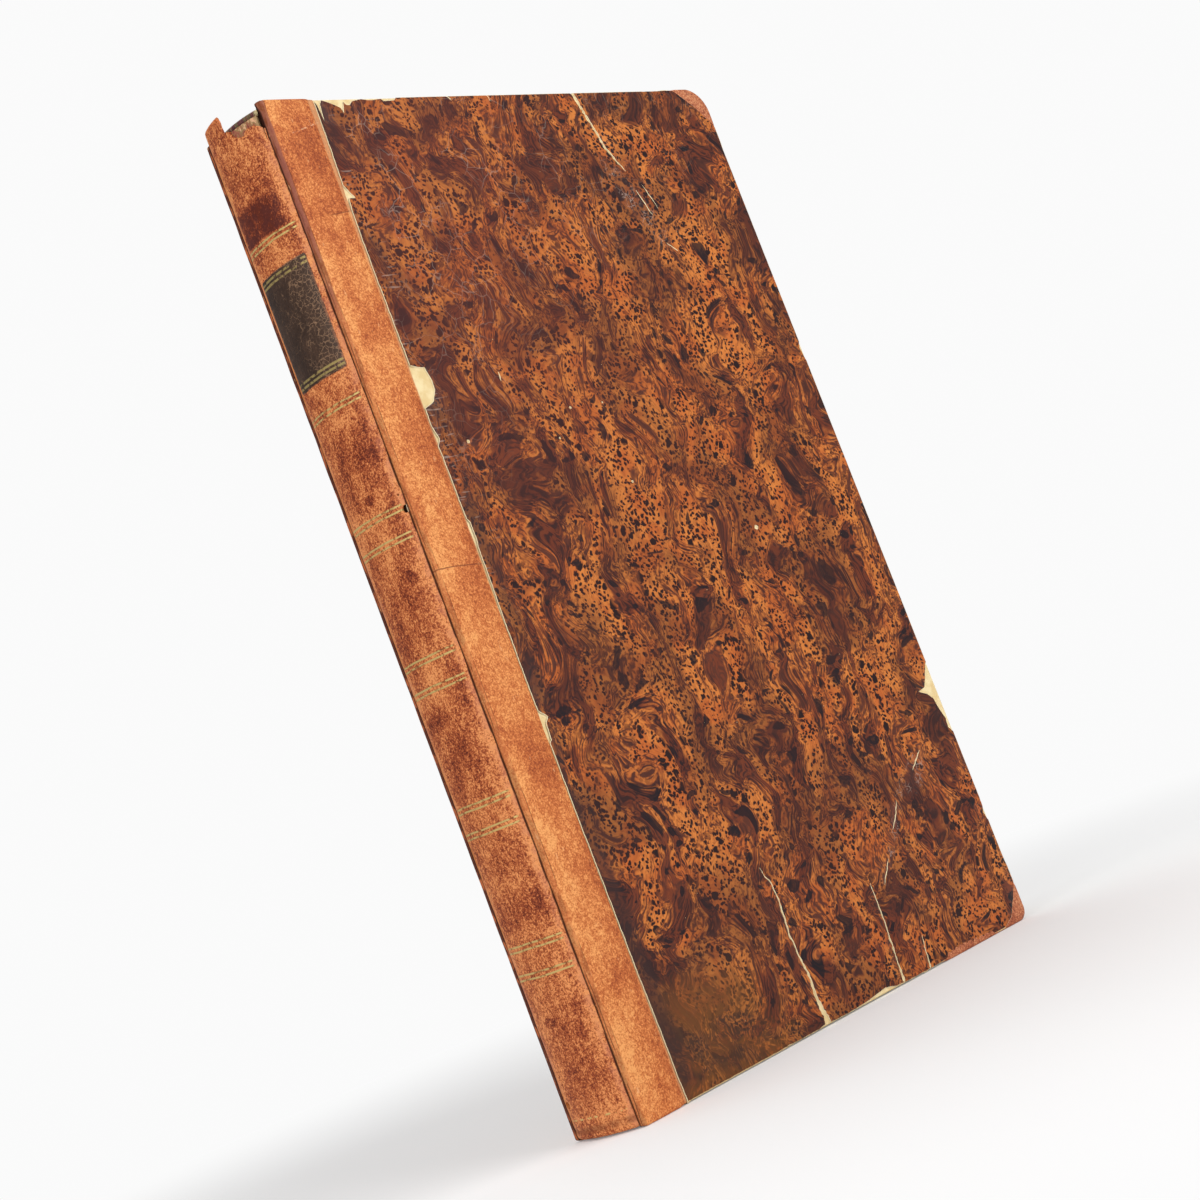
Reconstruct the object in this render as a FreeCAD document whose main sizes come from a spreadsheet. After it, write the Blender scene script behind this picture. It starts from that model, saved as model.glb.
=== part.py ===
import FreeCAD, Part
import os

# An antique half-leather folio book that stands upright on its tail edge.
# X runs from the spine to the fore edge, Y from the front cover to the back cover, Z from tail to head.
# The joint line, where a cover hinges on the spine, stands at x = jointX. Sizes are in millimetres.
sizes = {
    # a cover, measured over its leather
    "coverHeight": 340,
    "coverWidth": 217.8,
    "boardThick": 2.4,
    "leatherThick": 0.6,
    "paperThick": 0.35,
    "pastedownThick": 0.25,
    "headRound": 10,
    "tailRound": 4.5,
    "edgeRound": 0.55,
    "turnIn": 15,
    "stripWidth": 20,
    "headCornerAcross": 19,
    "headCornerDown": 19,
    "tailCornerAcross": 18,
    "tailCornerUp": 20,
    # places of the torn-off pieces of the front paper
    "patchFoot": 232.8,
    "chipFoot": 75,
    "lossDepth": 1.6,
    # the leaves, sewn on cords that lie in saw cuts
    "blockThick": 25.2,
    "squareHeight": 3.5,
    "squareFore": 4,
    "foreHollow": 1.6,
    "cordThick": 2,
    "cordInset": 24.5,
    "cordSlack": 0.1,
    "bandThick": 2.3,
    # the spine, rounded by spineSag over its half width
    "spineHalf": 14.2,
    "spineSag": 3,
    "spineLeather": 0.9,
    "liningThick": 0.5,
    "liningInset": 0.5,
    "glueGap": 0.05,
    "spineFoot": 0.5,
    "capRise": 4,
    "headLip": 0.8,
    "tailLip": 0.5,
    "lipRoot": 0.2,
    "labelThick": 0.25,
    "labelHalf": 12.3,
    "labelFoot": 250.6,
    "labelHeight": 38.8,
    "jointHoleHeight": 202,
    "jointHoleWidth": 2,
    "tailHoleHeight": 12.2,
    "tailHoleSide": 12,
    "tailHoleWidth": 2.2,
    # running gaps of the covers
    "coverClear": 0.3,
    "jointGap": 0.4,
}
cordCount = 5
# a cutting tool runs this far past what it cuts, and a ragged outline this far past the edge it opens
beyond = 1

doc = FreeCAD.newDocument("antique_book")
sheet = doc.addObject("Spreadsheet::Sheet", "Sizes")
for row, (name, number) in enumerate(sizes.items(), 1):
    sheet.set(f"A{row}", name)
    sheet.set(f"B{row}", str(number))
    sheet.setAlias(f"B{row}", name)
doc.recompute()

# Levels that several pieces share, as expressions of the sheet
jointX = "(-(Sizes.jointGap + Sizes.coverWidth - Sizes.spineSag - Sizes.labelThick) / 2)"
foreX = f"({jointX} + Sizes.jointGap + Sizes.coverWidth)"
stripX = f"({jointX} + Sizes.stripWidth)"
coverInner = "(Sizes.blockThick / 2 + Sizes.coverClear)"
boardInner = f"({coverInner} + Sizes.pastedownThick + Sizes.leatherThick)"
boardOuter = f"({boardInner} + Sizes.boardThick)"
coverOuter = f"({boardOuter} + Sizes.leatherThick)"
blockFoot = "Sizes.squareHeight"
blockHead = "(Sizes.coverHeight - Sizes.squareHeight)"
blockFore = f"({foreX} - Sizes.squareFore)"
spineHead = "(Sizes.coverHeight + Sizes.capRise)"

# All the layers of the back are rounded about one upright line, at x = backCentre
spineRadius = "((Sizes.spineHalf ^ 2 + Sizes.spineSag ^ 2) / (2 * Sizes.spineSag))"
backCentre = f"({jointX} + {spineRadius} - Sizes.spineSag)"
leatherInside = f"({spineRadius} - Sizes.spineLeather)"
liningOutside = f"({leatherInside} - Sizes.glueGap)"
liningInside = f"({liningOutside} - Sizes.liningThick)"
blockRadius = f"({liningInside} - Sizes.glueGap)"
liningHalf = "(Sizes.blockThick / 2 - Sizes.liningInset)"
# two levels along X with the whole rounded back between them
farIn = f"({jointX} + 2 * Sizes.spineSag + {beyond})"
farOut = f"({jointX} - 2 * Sizes.spineSag - {beyond})"


def measure(expression):
    return float(sheet.evalExpression(expression))


def box(name, low, high):
    thing = doc.addObject("Part::Box", name)
    for side, axis, start, end in zip(("Length", "Width", "Height"), "xyz", low, high):
        thing.setExpression(side, f"({end}) - ({start})")
        thing.setExpression(f"Placement.Base.{axis}", start)
    return thing


def cylinder(name, radius, foot, head):
    thing = doc.addObject("Part::Cylinder", name)
    thing.setExpression("Radius", radius)
    thing.setExpression("Height", f"({head}) - ({foot})")
    thing.setExpression("Placement.Base.x", backCentre)
    thing.setExpression("Placement.Base.z", foot)
    return thing


def cut(name, base, *tools):
    for number, tool in enumerate(tools, 1):
        result = doc.addObject("Part::Cut", name if number == len(tools) else f"{name}_cut_{number}")
        result.Base = base
        result.Tool = tool
        base = result
    return result


def common(name, base, tool):
    result = doc.addObject("Part::Common", name)
    result.Base = base
    result.Tool = tool
    return result


def fuse(name, base, tool):
    result = doc.addObject("Part::Fuse", name)
    result.Base = base
    result.Tool = tool
    return result


def rounded(name, base, choose):
    # choose gives an edge's radius as an expression, or None where the edge stays sharp
    doc.recompute()
    result = doc.addObject("Part::Fillet", name)
    result.Base = base
    radii = [(number, choose(edge)) for number, edge in enumerate(base.Shape.Edges, 1)]
    result.Edges = [(number, measure(radius), measure(radius)) for number, radius in radii if radius]
    return result


def outline(name, corners, place, direction, depth):
    # a straight prism over a ragged outline, whose corners are measured from its place
    wire = doc.addObject("Part::Polygon", f"{name}_line")
    wire.Nodes = [FreeCAD.Vector(*corner) for corner in corners]
    wire.Close = True
    solid = doc.addObject("Part::Extrusion", name)
    solid.Base = wire
    solid.DirMode = "Custom"
    solid.Dir = FreeCAD.Vector(*direction)
    solid.Solid = True
    solid.setExpression("LengthFwd", depth)
    for axis, level in zip("xyz", place):
        solid.setExpression(f"Placement.Base.{axis}", level)
    return solid


def backLayer(name, inside, outside, foot, head, half):
    # a layer of the rounded back, half wide each side of the middle
    tube = cut(f"{name}_tube", cylinder(f"{name}_out", outside, foot, head),
               cylinder(f"{name}_in", inside, f"({foot}) - {beyond}", f"({head}) + {beyond}"))
    window = box(f"{name}_window", (farOut, f"-{half}", f"({foot}) - {beyond}"),
                 (farIn, half, f"({head}) + {beyond}"))
    return common(name, tube, window)


def backRoll(name, thick, height, half):
    # a round cord or roll that follows the rounded back across the leaves, just inside it
    roll = doc.addObject("Part::Torus", name)
    middle = f"({blockRadius} - Sizes.cordSlack - {thick} / 2)"
    spread = f"asin({half} / {middle})"
    roll.Placement = FreeCAD.Placement(FreeCAD.Vector(), FreeCAD.Rotation(FreeCAD.Vector(0, 0, 1), 150))
    roll.setExpression("Radius1", middle)
    roll.setExpression("Radius2", f"{thick} / 2")
    roll.setExpression("Angle3", f"2 * {spread}")
    roll.setExpression("Placement.Rotation.Angle", f"180 deg - {spread}")
    roll.setExpression("Placement.Base.x", backCentre)
    roll.setExpression("Placement.Base.z", height)
    return roll


def coverSlab(name, skin):
    # the front board grown by a skin, with its fore-edge corners and its rim rounded
    near = f"Sizes.leatherThick - {skin}"
    slab = box(f"{name}_box", (f"{jointX} + Sizes.jointGap + {near}", f"-{boardOuter} - {skin}", near),
               (f"{foreX} - ({near})", f"-{boardInner} + {skin}", f"Sizes.coverHeight - ({near})"))
    midHeight = sizes["coverHeight"] / 2

    def cornerRadius(edge):
        ends = [vertex.Point for vertex in edge.Vertexes]
        if edge.BoundBox.YLength < 1 or ends[0].x < 0:
            return None
        return f"Sizes.{'headRound' if ends[0].z > midHeight else 'tailRound'} - ({near})"

    def rimRadius(edge):
        return f"Sizes.edgeRound + {skin}" if edge.BoundBox.YLength < 0.01 else None

    return rounded(name, rounded(f"{name}_corners", slab, cornerRadius), rimRadius)


def cornerWedge(name, across, along, head):
    # the triangle of a cover's fore-edge corner, with its long side towards the board's middle
    reach, sign = 5 * beyond, 1 if head else -1
    corners = [(reach, 0, sign * reach), (reach, 0, -sign * (along + along / across * reach)),
               (-across - across / along * reach, 0, sign * reach)]
    level = "Sizes.coverHeight" if head else "0"
    depth = f"{coverOuter} - {coverInner} + 2 * {beyond}"
    return outline(name, corners, (foreX, f"-{coverOuter} - {beyond}", level), (0, 1, 0), depth)


def paperLosses():
    # the places where the front paper is torn off down to the board
    patch = [(-2, 0, -0.4), (1.4, 0, -0.4), (4.8, 0, 0.7), (7.3, 0, 4.6), (6.2, 0, 12.3), (-2, 0, 11.6)]
    headStrip = [(-2, 0, 2), (44, 0, 2), (31, 0, -1.2), (18, 0, -1.7), (15, 0, -2.7), (14, 0, -6.8),
                 (12.8, 0, -4), (8.7, 0, -2.2), (5.3, 0, -1.6), (3.1, 0, -6.5), (-2, 0, -2)]
    foreChip = [(2, 0, -1), (2, 0, 28), (-2.3, 0, 26), (-5.8, 0, 20.8), (-7.8, 0, 16.7), (-12.3, 0, 17.7),
                (-5, 0, 13.4), (-3.9, 0, 8.9), (-2.3, 0, 4.8)]
    front = f"-{coverOuter} - {beyond}"
    depth = f"{beyond} + Sizes.lossDepth"
    return [outline("patch_loss", patch, (stripX, front, "Sizes.patchFoot"), (0, 1, 0), depth),
            outline("head_loss", headStrip, (stripX, front, "Sizes.coverHeight"), (0, 1, 0), depth),
            outline("fore_loss", foreChip, (foreX, front, "Sizes.chipFoot"), (0, 1, 0), depth)]


def makeFrontCover():
    board = coverSlab("front_board", "0")
    leatherSkin = cut("leather_skin", coverSlab("leather_slab", "Sizes.leatherThick"), board)
    paperSkin = cut("paper_skin", coverSlab("paper_slab", "Sizes.paperThick"), board)
    before, behind = f"-{coverOuter} - {beyond}", f"-{coverInner} + {beyond}"
    stripZone = box("strip_zone", (farOut, before, f"-{beyond}"),
                    (stripX, behind, f"Sizes.coverHeight + {beyond}"))
    # the skins stop at their turn-ins on the inner face
    inside = box("inside_zone", (farOut, f"-{boardInner}", "Sizes.turnIn"),
                 (f"{foreX} - Sizes.turnIn", behind, "Sizes.coverHeight - Sizes.turnIn"))
    headWedge = cornerWedge("head_wedge", sizes["headCornerAcross"], sizes["headCornerDown"], True)
    tailWedge = cornerWedge("tail_wedge", sizes["tailCornerAcross"], sizes["tailCornerUp"], False)
    strip = cut("front_spine_strip", common("strip_skin", leatherSkin, stripZone), inside)
    headCorner = common("front_head_corner", leatherSkin, headWedge)
    tailCorner = common("front_tail_corner", leatherSkin, tailWedge)
    wholePaper = cut("whole_paper", paperSkin, stripZone, inside, headWedge, tailWedge)
    paper = cut("front_side_paper", wholePaper, *paperLosses())
    # the leaf pasted on the inner face fills in between the turn-ins and covers them
    leaf = box("leaf_box", (f"{jointX} + Sizes.jointGap + Sizes.leatherThick", f"-{boardInner}", blockFoot),
               (blockFore, f"-{coverInner}", blockHead))
    pastedown = cut("front_pastedown", leaf, strip, headCorner, tailCorner, wholePaper)
    return {"board": board, "spine_strip": strip, "head_corner": headCorner, "tail_corner": tailCorner,
            "side_paper": paper, "pastedown": pastedown}, wholePaper


def makeBackCover(frontPieces, wholePaper):
    # the back cover mirrors the front one, with its paper whole
    pieces = []
    for name, source in frontPieces.items():
        twin = doc.addObject("Part::Mirroring", f"back_{name}")
        twin.Source = wholePaper if name == "side_paper" else source
        twin.Normal = FreeCAD.Vector(0, 1, 0)
        pieces.append(twin)
    return pieces


def makeLeaves():
    # all the leaves as one block, rounded at the back and hollow at the fore edge
    half = "Sizes.blockThick / 2"
    leaves = box("leaves_box", (farOut, f"-{half}", blockFoot), (blockFore, half, blockHead))
    backZone = box("back_zone", (f"{farOut} - {beyond}", f"-{half} - {beyond}", f"{blockFoot} - {beyond}"),
                   (farIn, f"{half} + {beyond}", f"{blockHead} + {beyond}"))
    backRound = cylinder("back_round", blockRadius, f"{blockFoot} - 2 * {beyond}", f"{blockHead} + 2 * {beyond}")
    outside = cut("behind_back", backZone, backRound)
    hollowRadius = f"((({half}) ^ 2 + Sizes.foreHollow ^ 2) / (2 * Sizes.foreHollow))"
    hollow = cylinder("fore_round", hollowRadius, f"{blockFoot} - {beyond}", f"{blockHead} + {beyond}")
    hollow.setExpression("Placement.Base.x", f"{blockFore} - Sizes.foreHollow + {hollowRadius}")
    slotHalf = "(Sizes.cordThick / 2 + Sizes.cordSlack)"
    slots = [backLayer(f"saw_cut_{number + 1}", f"{blockRadius} - 2 * {slotHalf}", f"{blockRadius} + {beyond}",
                       f"{cordHeight(number)} - {slotHalf}", f"{cordHeight(number)} + {slotHalf}",
                       f"({half} + {beyond})")
             for number in range(cordCount)]
    return cut("page_block", leaves, outside, hollow, *slots)


def cordHeight(number):
    # the end cords lie cordInset inside the leaves' ends, and the others share the length between them
    pitch = f"(({blockHead} - {blockFoot} - 2 * Sizes.cordInset) / {cordCount - 1})"
    return f"({blockFoot} + Sizes.cordInset + {number} * {pitch})"


def makeCords():
    reach = "(Sizes.blockThick / 2 - Sizes.cordThick / 2)"
    return [backRoll(f"sewing_cord_{number + 1}", "Sizes.cordThick", cordHeight(number), reach)
            for number in range(cordCount)]


def makeEndbands():
    reach = "(Sizes.blockThick / 2 - Sizes.bandThick / 2)"
    lift = "(Sizes.bandThick / 2 + Sizes.glueGap)"
    return [backRoll("head_band", "Sizes.bandThick", f"{blockHead} + {lift}", reach),
            backRoll("tail_band", "Sizes.bandThick", f"{blockFoot} - {lift}", reach)]


def makeLining():
    return backLayer("spine_lining", liningInside, liningOutside, blockFoot, blockHead, liningHalf)


def makeSpineLeather():
    # the leather between the joints, turned in over the endbands as caps; most of the head cap is torn off
    tube = backLayer("leather_round", leatherInside, spineRadius, "Sizes.spineFoot", spineHead,
                     f"(Sizes.spineHalf + {beyond})")
    inward = box("inward_of_joint", (jointX, f"-(Sizes.spineHalf + 2 * {beyond})", f"-{beyond}"),
                  (f"{farIn} + {beyond}", f"Sizes.spineHalf + 2 * {beyond}", f"{spineHead} + {beyond}"))
    shell = cut("leather_wall", tube, inward)
    lipInside = f"({blockRadius} - Sizes.bandThick)"
    lipOutside = f"({leatherInside} + Sizes.lipRoot)"
    tailLip = backLayer("tail_lip", lipInside, lipOutside, "Sizes.spineFoot",
                        "Sizes.spineFoot + Sizes.tailLip", liningHalf)
    headLip = backLayer("head_lip", lipInside, lipOutside,
                        f"{spineHead} - Sizes.headLip", spineHead, liningHalf)
    tear = [(0, -17, 12), (0, -17, -10.5), (0, -14.2, -9), (0, -10.9, -6.4), (0, -7.9, -6.1), (0, -6.2, -7.4),
            (0, -3.8, -7.1), (0, -1.9, -5.8), (0, -0.7, -4.2), (0, -0.7, -1.5), (0, 1.4, 0), (0, 1.9, 2.2),
            (0, 5.1, 3.4), (0, 9.3, 3.8), (0, 12.6, 3.2), (0, 17, 2), (0, 17, 12)]
    headTear = outline("head_tear", tear, (farOut, "0", "Sizes.coverHeight"), (1, 0, 0), f"{farIn} - {farOut}")
    capped = fuse("leather_caps", fuse("leather_tail_cap", shell, tailLip), headLip)
    jointHole = wormHole("joint_hole", "-Sizes.spineHalf + Sizes.jointHoleWidth / 4", "Sizes.jointHoleHeight",
                         "Sizes.jointHoleWidth")
    tailHole = wormHole("tail_hole", "Sizes.tailHoleSide", "Sizes.tailHoleHeight", "Sizes.tailHoleWidth")
    return cut("spine_leather", capped, headTear, jointHole, tailHole)


def wormHole(name, side, height, width):
    hole = doc.addObject("Part::Cylinder", name)
    hole.Placement = FreeCAD.Placement(FreeCAD.Vector(), FreeCAD.Rotation(FreeCAD.Vector(0, 1, 0), 90))
    hole.setExpression("Radius", f"{width} / 2")
    hole.setExpression("Height", f"{farIn} - {farOut}")
    hole.setExpression("Placement.Base.x", farOut)
    hole.setExpression("Placement.Base.y", side)
    hole.setExpression("Placement.Base.z", height)
    return hole


def makeLabel():
    return backLayer("title_label", f"{spineRadius} + Sizes.glueGap / 2", f"{spineRadius} + Sizes.labelThick",
                     "Sizes.labelFoot", "Sizes.labelFoot + Sizes.labelHeight", "Sizes.labelHalf")


def writeParts(parts):
    doc.recompute()
    failed = [thing.Name for thing in doc.Objects if "Invalid" in thing.State or "Error" in thing.State]
    if failed:
        raise RuntimeError(f"these did not build: {failed}")
    for part in parts:
        if part.Shape.isNull() or not part.Shape.isValid() or not part.Shape.Solids:
            raise RuntimeError(f"{part.Name} has no valid solid")
    os.makedirs("parts", exist_ok=True)
    for part in parts:
        part.Label = part.Name
        part.Shape.exportStep(f"parts/{part.Name}.step")
        print(part.Label, len(part.Shape.Solids), "solid", round(part.Shape.Volume, 1), "mm3")


frontPieces, wholePaper = makeFrontCover()
backPieces = makeBackCover(frontPieces, wholePaper)
writeParts([makeLeaves(), *makeCords(), *makeEndbands(), makeLining(), makeSpineLeather(), makeLabel(),
            *frontPieces.values(), *backPieces])
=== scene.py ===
import math

import bpy
from mathutils import Matrix, Vector, noise
from mathutils.geometry import delaunay_2d_cdt


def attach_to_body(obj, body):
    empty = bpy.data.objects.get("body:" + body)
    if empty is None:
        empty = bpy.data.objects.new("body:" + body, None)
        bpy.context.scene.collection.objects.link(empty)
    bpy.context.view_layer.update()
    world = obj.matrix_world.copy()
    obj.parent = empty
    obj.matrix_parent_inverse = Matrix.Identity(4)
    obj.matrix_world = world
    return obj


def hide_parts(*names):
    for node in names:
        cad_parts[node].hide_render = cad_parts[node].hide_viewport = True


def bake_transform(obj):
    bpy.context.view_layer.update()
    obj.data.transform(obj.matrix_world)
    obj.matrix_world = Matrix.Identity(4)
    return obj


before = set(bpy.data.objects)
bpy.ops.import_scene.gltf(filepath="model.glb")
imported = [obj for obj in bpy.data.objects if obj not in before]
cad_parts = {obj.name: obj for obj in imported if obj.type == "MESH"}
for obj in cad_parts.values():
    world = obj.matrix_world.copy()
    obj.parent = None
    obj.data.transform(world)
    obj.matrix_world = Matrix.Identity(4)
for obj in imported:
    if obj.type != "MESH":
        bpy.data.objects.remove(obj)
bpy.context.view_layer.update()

millimetre = 0.001  # sizes below are in mm: x from the joint line, y from the middle of the book, z from the tail
jointX = -107.475


def mm(x, y, z):
    return Vector(((x + jointX) * millimetre, y * millimetre, z * millimetre))


def smooth(low, high, value):
    t = min(1.0, max(0.0, (value - low) / (high - low)))
    return t * t * (3 - 2 * t)


def tint(red, green, blue):  # an sRGB colour, 0 to 255, as Blender's linear one
    def linear(c):
        c /= 255
        return c / 12.92 if c <= 0.04045 else ((c + 0.055) / 1.055) ** 2.4
    return (linear(red), linear(green), linear(blue), 1.0)


def makeNode(tree, kind, settings, sockets):
    node = tree.nodes.new(kind)
    for key, value in settings.items():
        if key == "stops":
            ramp = node.color_ramp
            while len(ramp.elements) < len(value):
                ramp.elements.new(1.0)
            for element, (position, colour) in zip(ramp.elements, value):
                element.position, element.color = position, colour
        else:
            setattr(node, key, value)
    for key, value in sockets.items():
        if isinstance(value, Wire):
            tree.links.new(value.socket, node.inputs[key])
        else:
            node.inputs[key].default_value = value
    return node


class Wire:
    def __init__(self, tree, socket):
        self.tree, self.socket = tree, socket

    def maths(self, operation, first, second=0.0, third=None, clamp=False):
        sockets = {0: first, 1: second}
        if third is not None:
            sockets[2] = third
        node = makeNode(self.tree, "ShaderNodeMath", {"operation": operation, "use_clamp": clamp}, sockets)
        return Wire(self.tree, node.outputs[0])

    def __add__(self, other): return self.maths("ADD", self, other)
    def __radd__(self, other): return self.maths("ADD", other, self)
    def __sub__(self, other): return self.maths("SUBTRACT", self, other)
    def __rsub__(self, other): return self.maths("SUBTRACT", other, self)
    def __mul__(self, other): return self.maths("MULTIPLY", self, other)
    def __rmul__(self, other): return self.maths("MULTIPLY", other, self)
    def __truediv__(self, other): return self.maths("DIVIDE", self, other)
    def __abs__(self): return self.maths("ABSOLUTE", self)
    def root(self): return self.maths("SQRT", self)
    def clamp(self): return self.maths("ADD", self, 0.0, clamp=True)
    def most(self, other): return self.maths("MAXIMUM", self, other)

    def between(self, low, high):  # smooth step from 0 at low to 1 at high
        sockets = {0: self, 1: low, 2: high, 3: 0.0, 4: 1.0}
        if low > high:
            sockets = {0: self, 1: high, 2: low, 3: 1.0, 4: 0.0}
        node = makeNode(self.tree, "ShaderNodeMapRange", {"interpolation_type": "SMOOTHSTEP"}, sockets)
        return Wire(self.tree, node.outputs[0])


class Paint:
    def __init__(self, name):
        self.material = bpy.data.materials.new(name)
        self.material.use_nodes = True
        self.tree = self.material.node_tree
        self.tree.nodes.clear()
        self.spot = self.vector("SCALE", self.add("TexCoord", out="Object"), scale=1 / millimetre)
        self.x, self.y, self.z = (self.add("SeparateXYZ", sockets={0: self.spot}, out=k) for k in range(3))

    def add(self, kind, settings={}, sockets={}, out=0):
        node = makeNode(self.tree, "ShaderNode" + kind, settings, sockets)
        return Wire(self.tree, node.outputs[out])

    def vector(self, operation, first, second=None, scale=None):
        sockets = {0: first}
        if second is not None:
            sockets[1] = second
        if scale is not None:
            sockets[3] = scale
        return self.add("VectorMath", {"operation": operation}, sockets)

    def noise(self, spot, size, seed, detail=2.0, rough=0.5, stretch=(1, 1, 1), out=0):
        spot = self.add("VectorMath", {"operation": "MULTIPLY_ADD"},
                        {0: spot, 1: tuple(1 / (size * k) for k in stretch),
                         2: (seed * 5.17, seed * 3.31, seed * 7.73)})
        return self.add("TexNoise", {"noise_dimensions": "3D"},
                        {"Vector": spot, "Scale": 1.0, "Detail": detail, "Roughness": rough}, out)

    def cells(self, spot, size, feature="F1", out=0):
        return self.add("TexVoronoi", {"feature": feature}, {"Vector": spot, "Scale": 1 / size}, out)

    def warp(self, spot, size, amount, seed, detail=1.0):
        push = self.noise(spot, size, seed, detail, out=1)
        push = self.vector("SUBTRACT", push, (0.5, 0.5, 0.5))
        return self.vector("ADD", spot, self.vector("SCALE", push, scale=amount))

    def mix(self, first, second, factor):
        return self.add("Mix", {"data_type": "RGBA"}, {0: factor, 6: first, 7: second}, 2)

    def ramp(self, factor, stops):
        return self.add("ValToRGB", {"stops": stops}, {0: factor})

    def strip(self, value, middle, half, soft):  # 1 within half of middle
        return abs(value - middle).between(half + soft, max(half - soft, 0.0))

    def patch(self, first, second, x, y, long, wide, turn=0.0):  # 1 in the middle of an oval, 0 at its edge
        c, s = math.cos(math.radians(turn)), math.sin(math.radians(turn))
        along = ((first - x) * c + (second - y) * s) / long
        across = ((second - y) * c - (first - x) * s) / wide
        return (1 - along * along - across * across).clamp()

    def bump(self, height, depth, strength=1.0):  # height 0 to 1 stands for depth in mm
        return self.add("Bump", {}, {"Height": height, "Distance": depth * millimetre, "Strength": strength})

    def finish(self, sockets):
        shader = self.add("BsdfPrincipled", {}, sockets)
        makeNode(self.tree, "ShaderNodeOutputMaterial", {}, {0: shader})
        return self.material


marbled = {
    "orange": tint(216, 130, 62), "amber": tint(198, 106, 50), "rust": tint(128, 58, 36),
    "river": tint(94, 52, 40), "riverDeep": tint(54, 34, 34), "speck": tint(42, 27, 28),
    "blob": tint(30, 27, 33), "wash": tint(112, 70, 38), "rubbed": tint(228, 200, 150),
    "cracked": tint(186, 160, 146), "core": tint(240, 222, 180),
    "shade": tint(60, 36, 34), "ruddy": tint(112, 50, 40), "washDeep": tint(76, 52, 40), "edgeBand": tint(64, 44, 42),
    "scuffed": tint(84, 60, 56),
    # how far, and over what size, the colours were drawn about, in mm
    "curl": 36, "curlSize": 31, "swirl": 12, "swirlSize": 11,
}


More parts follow.
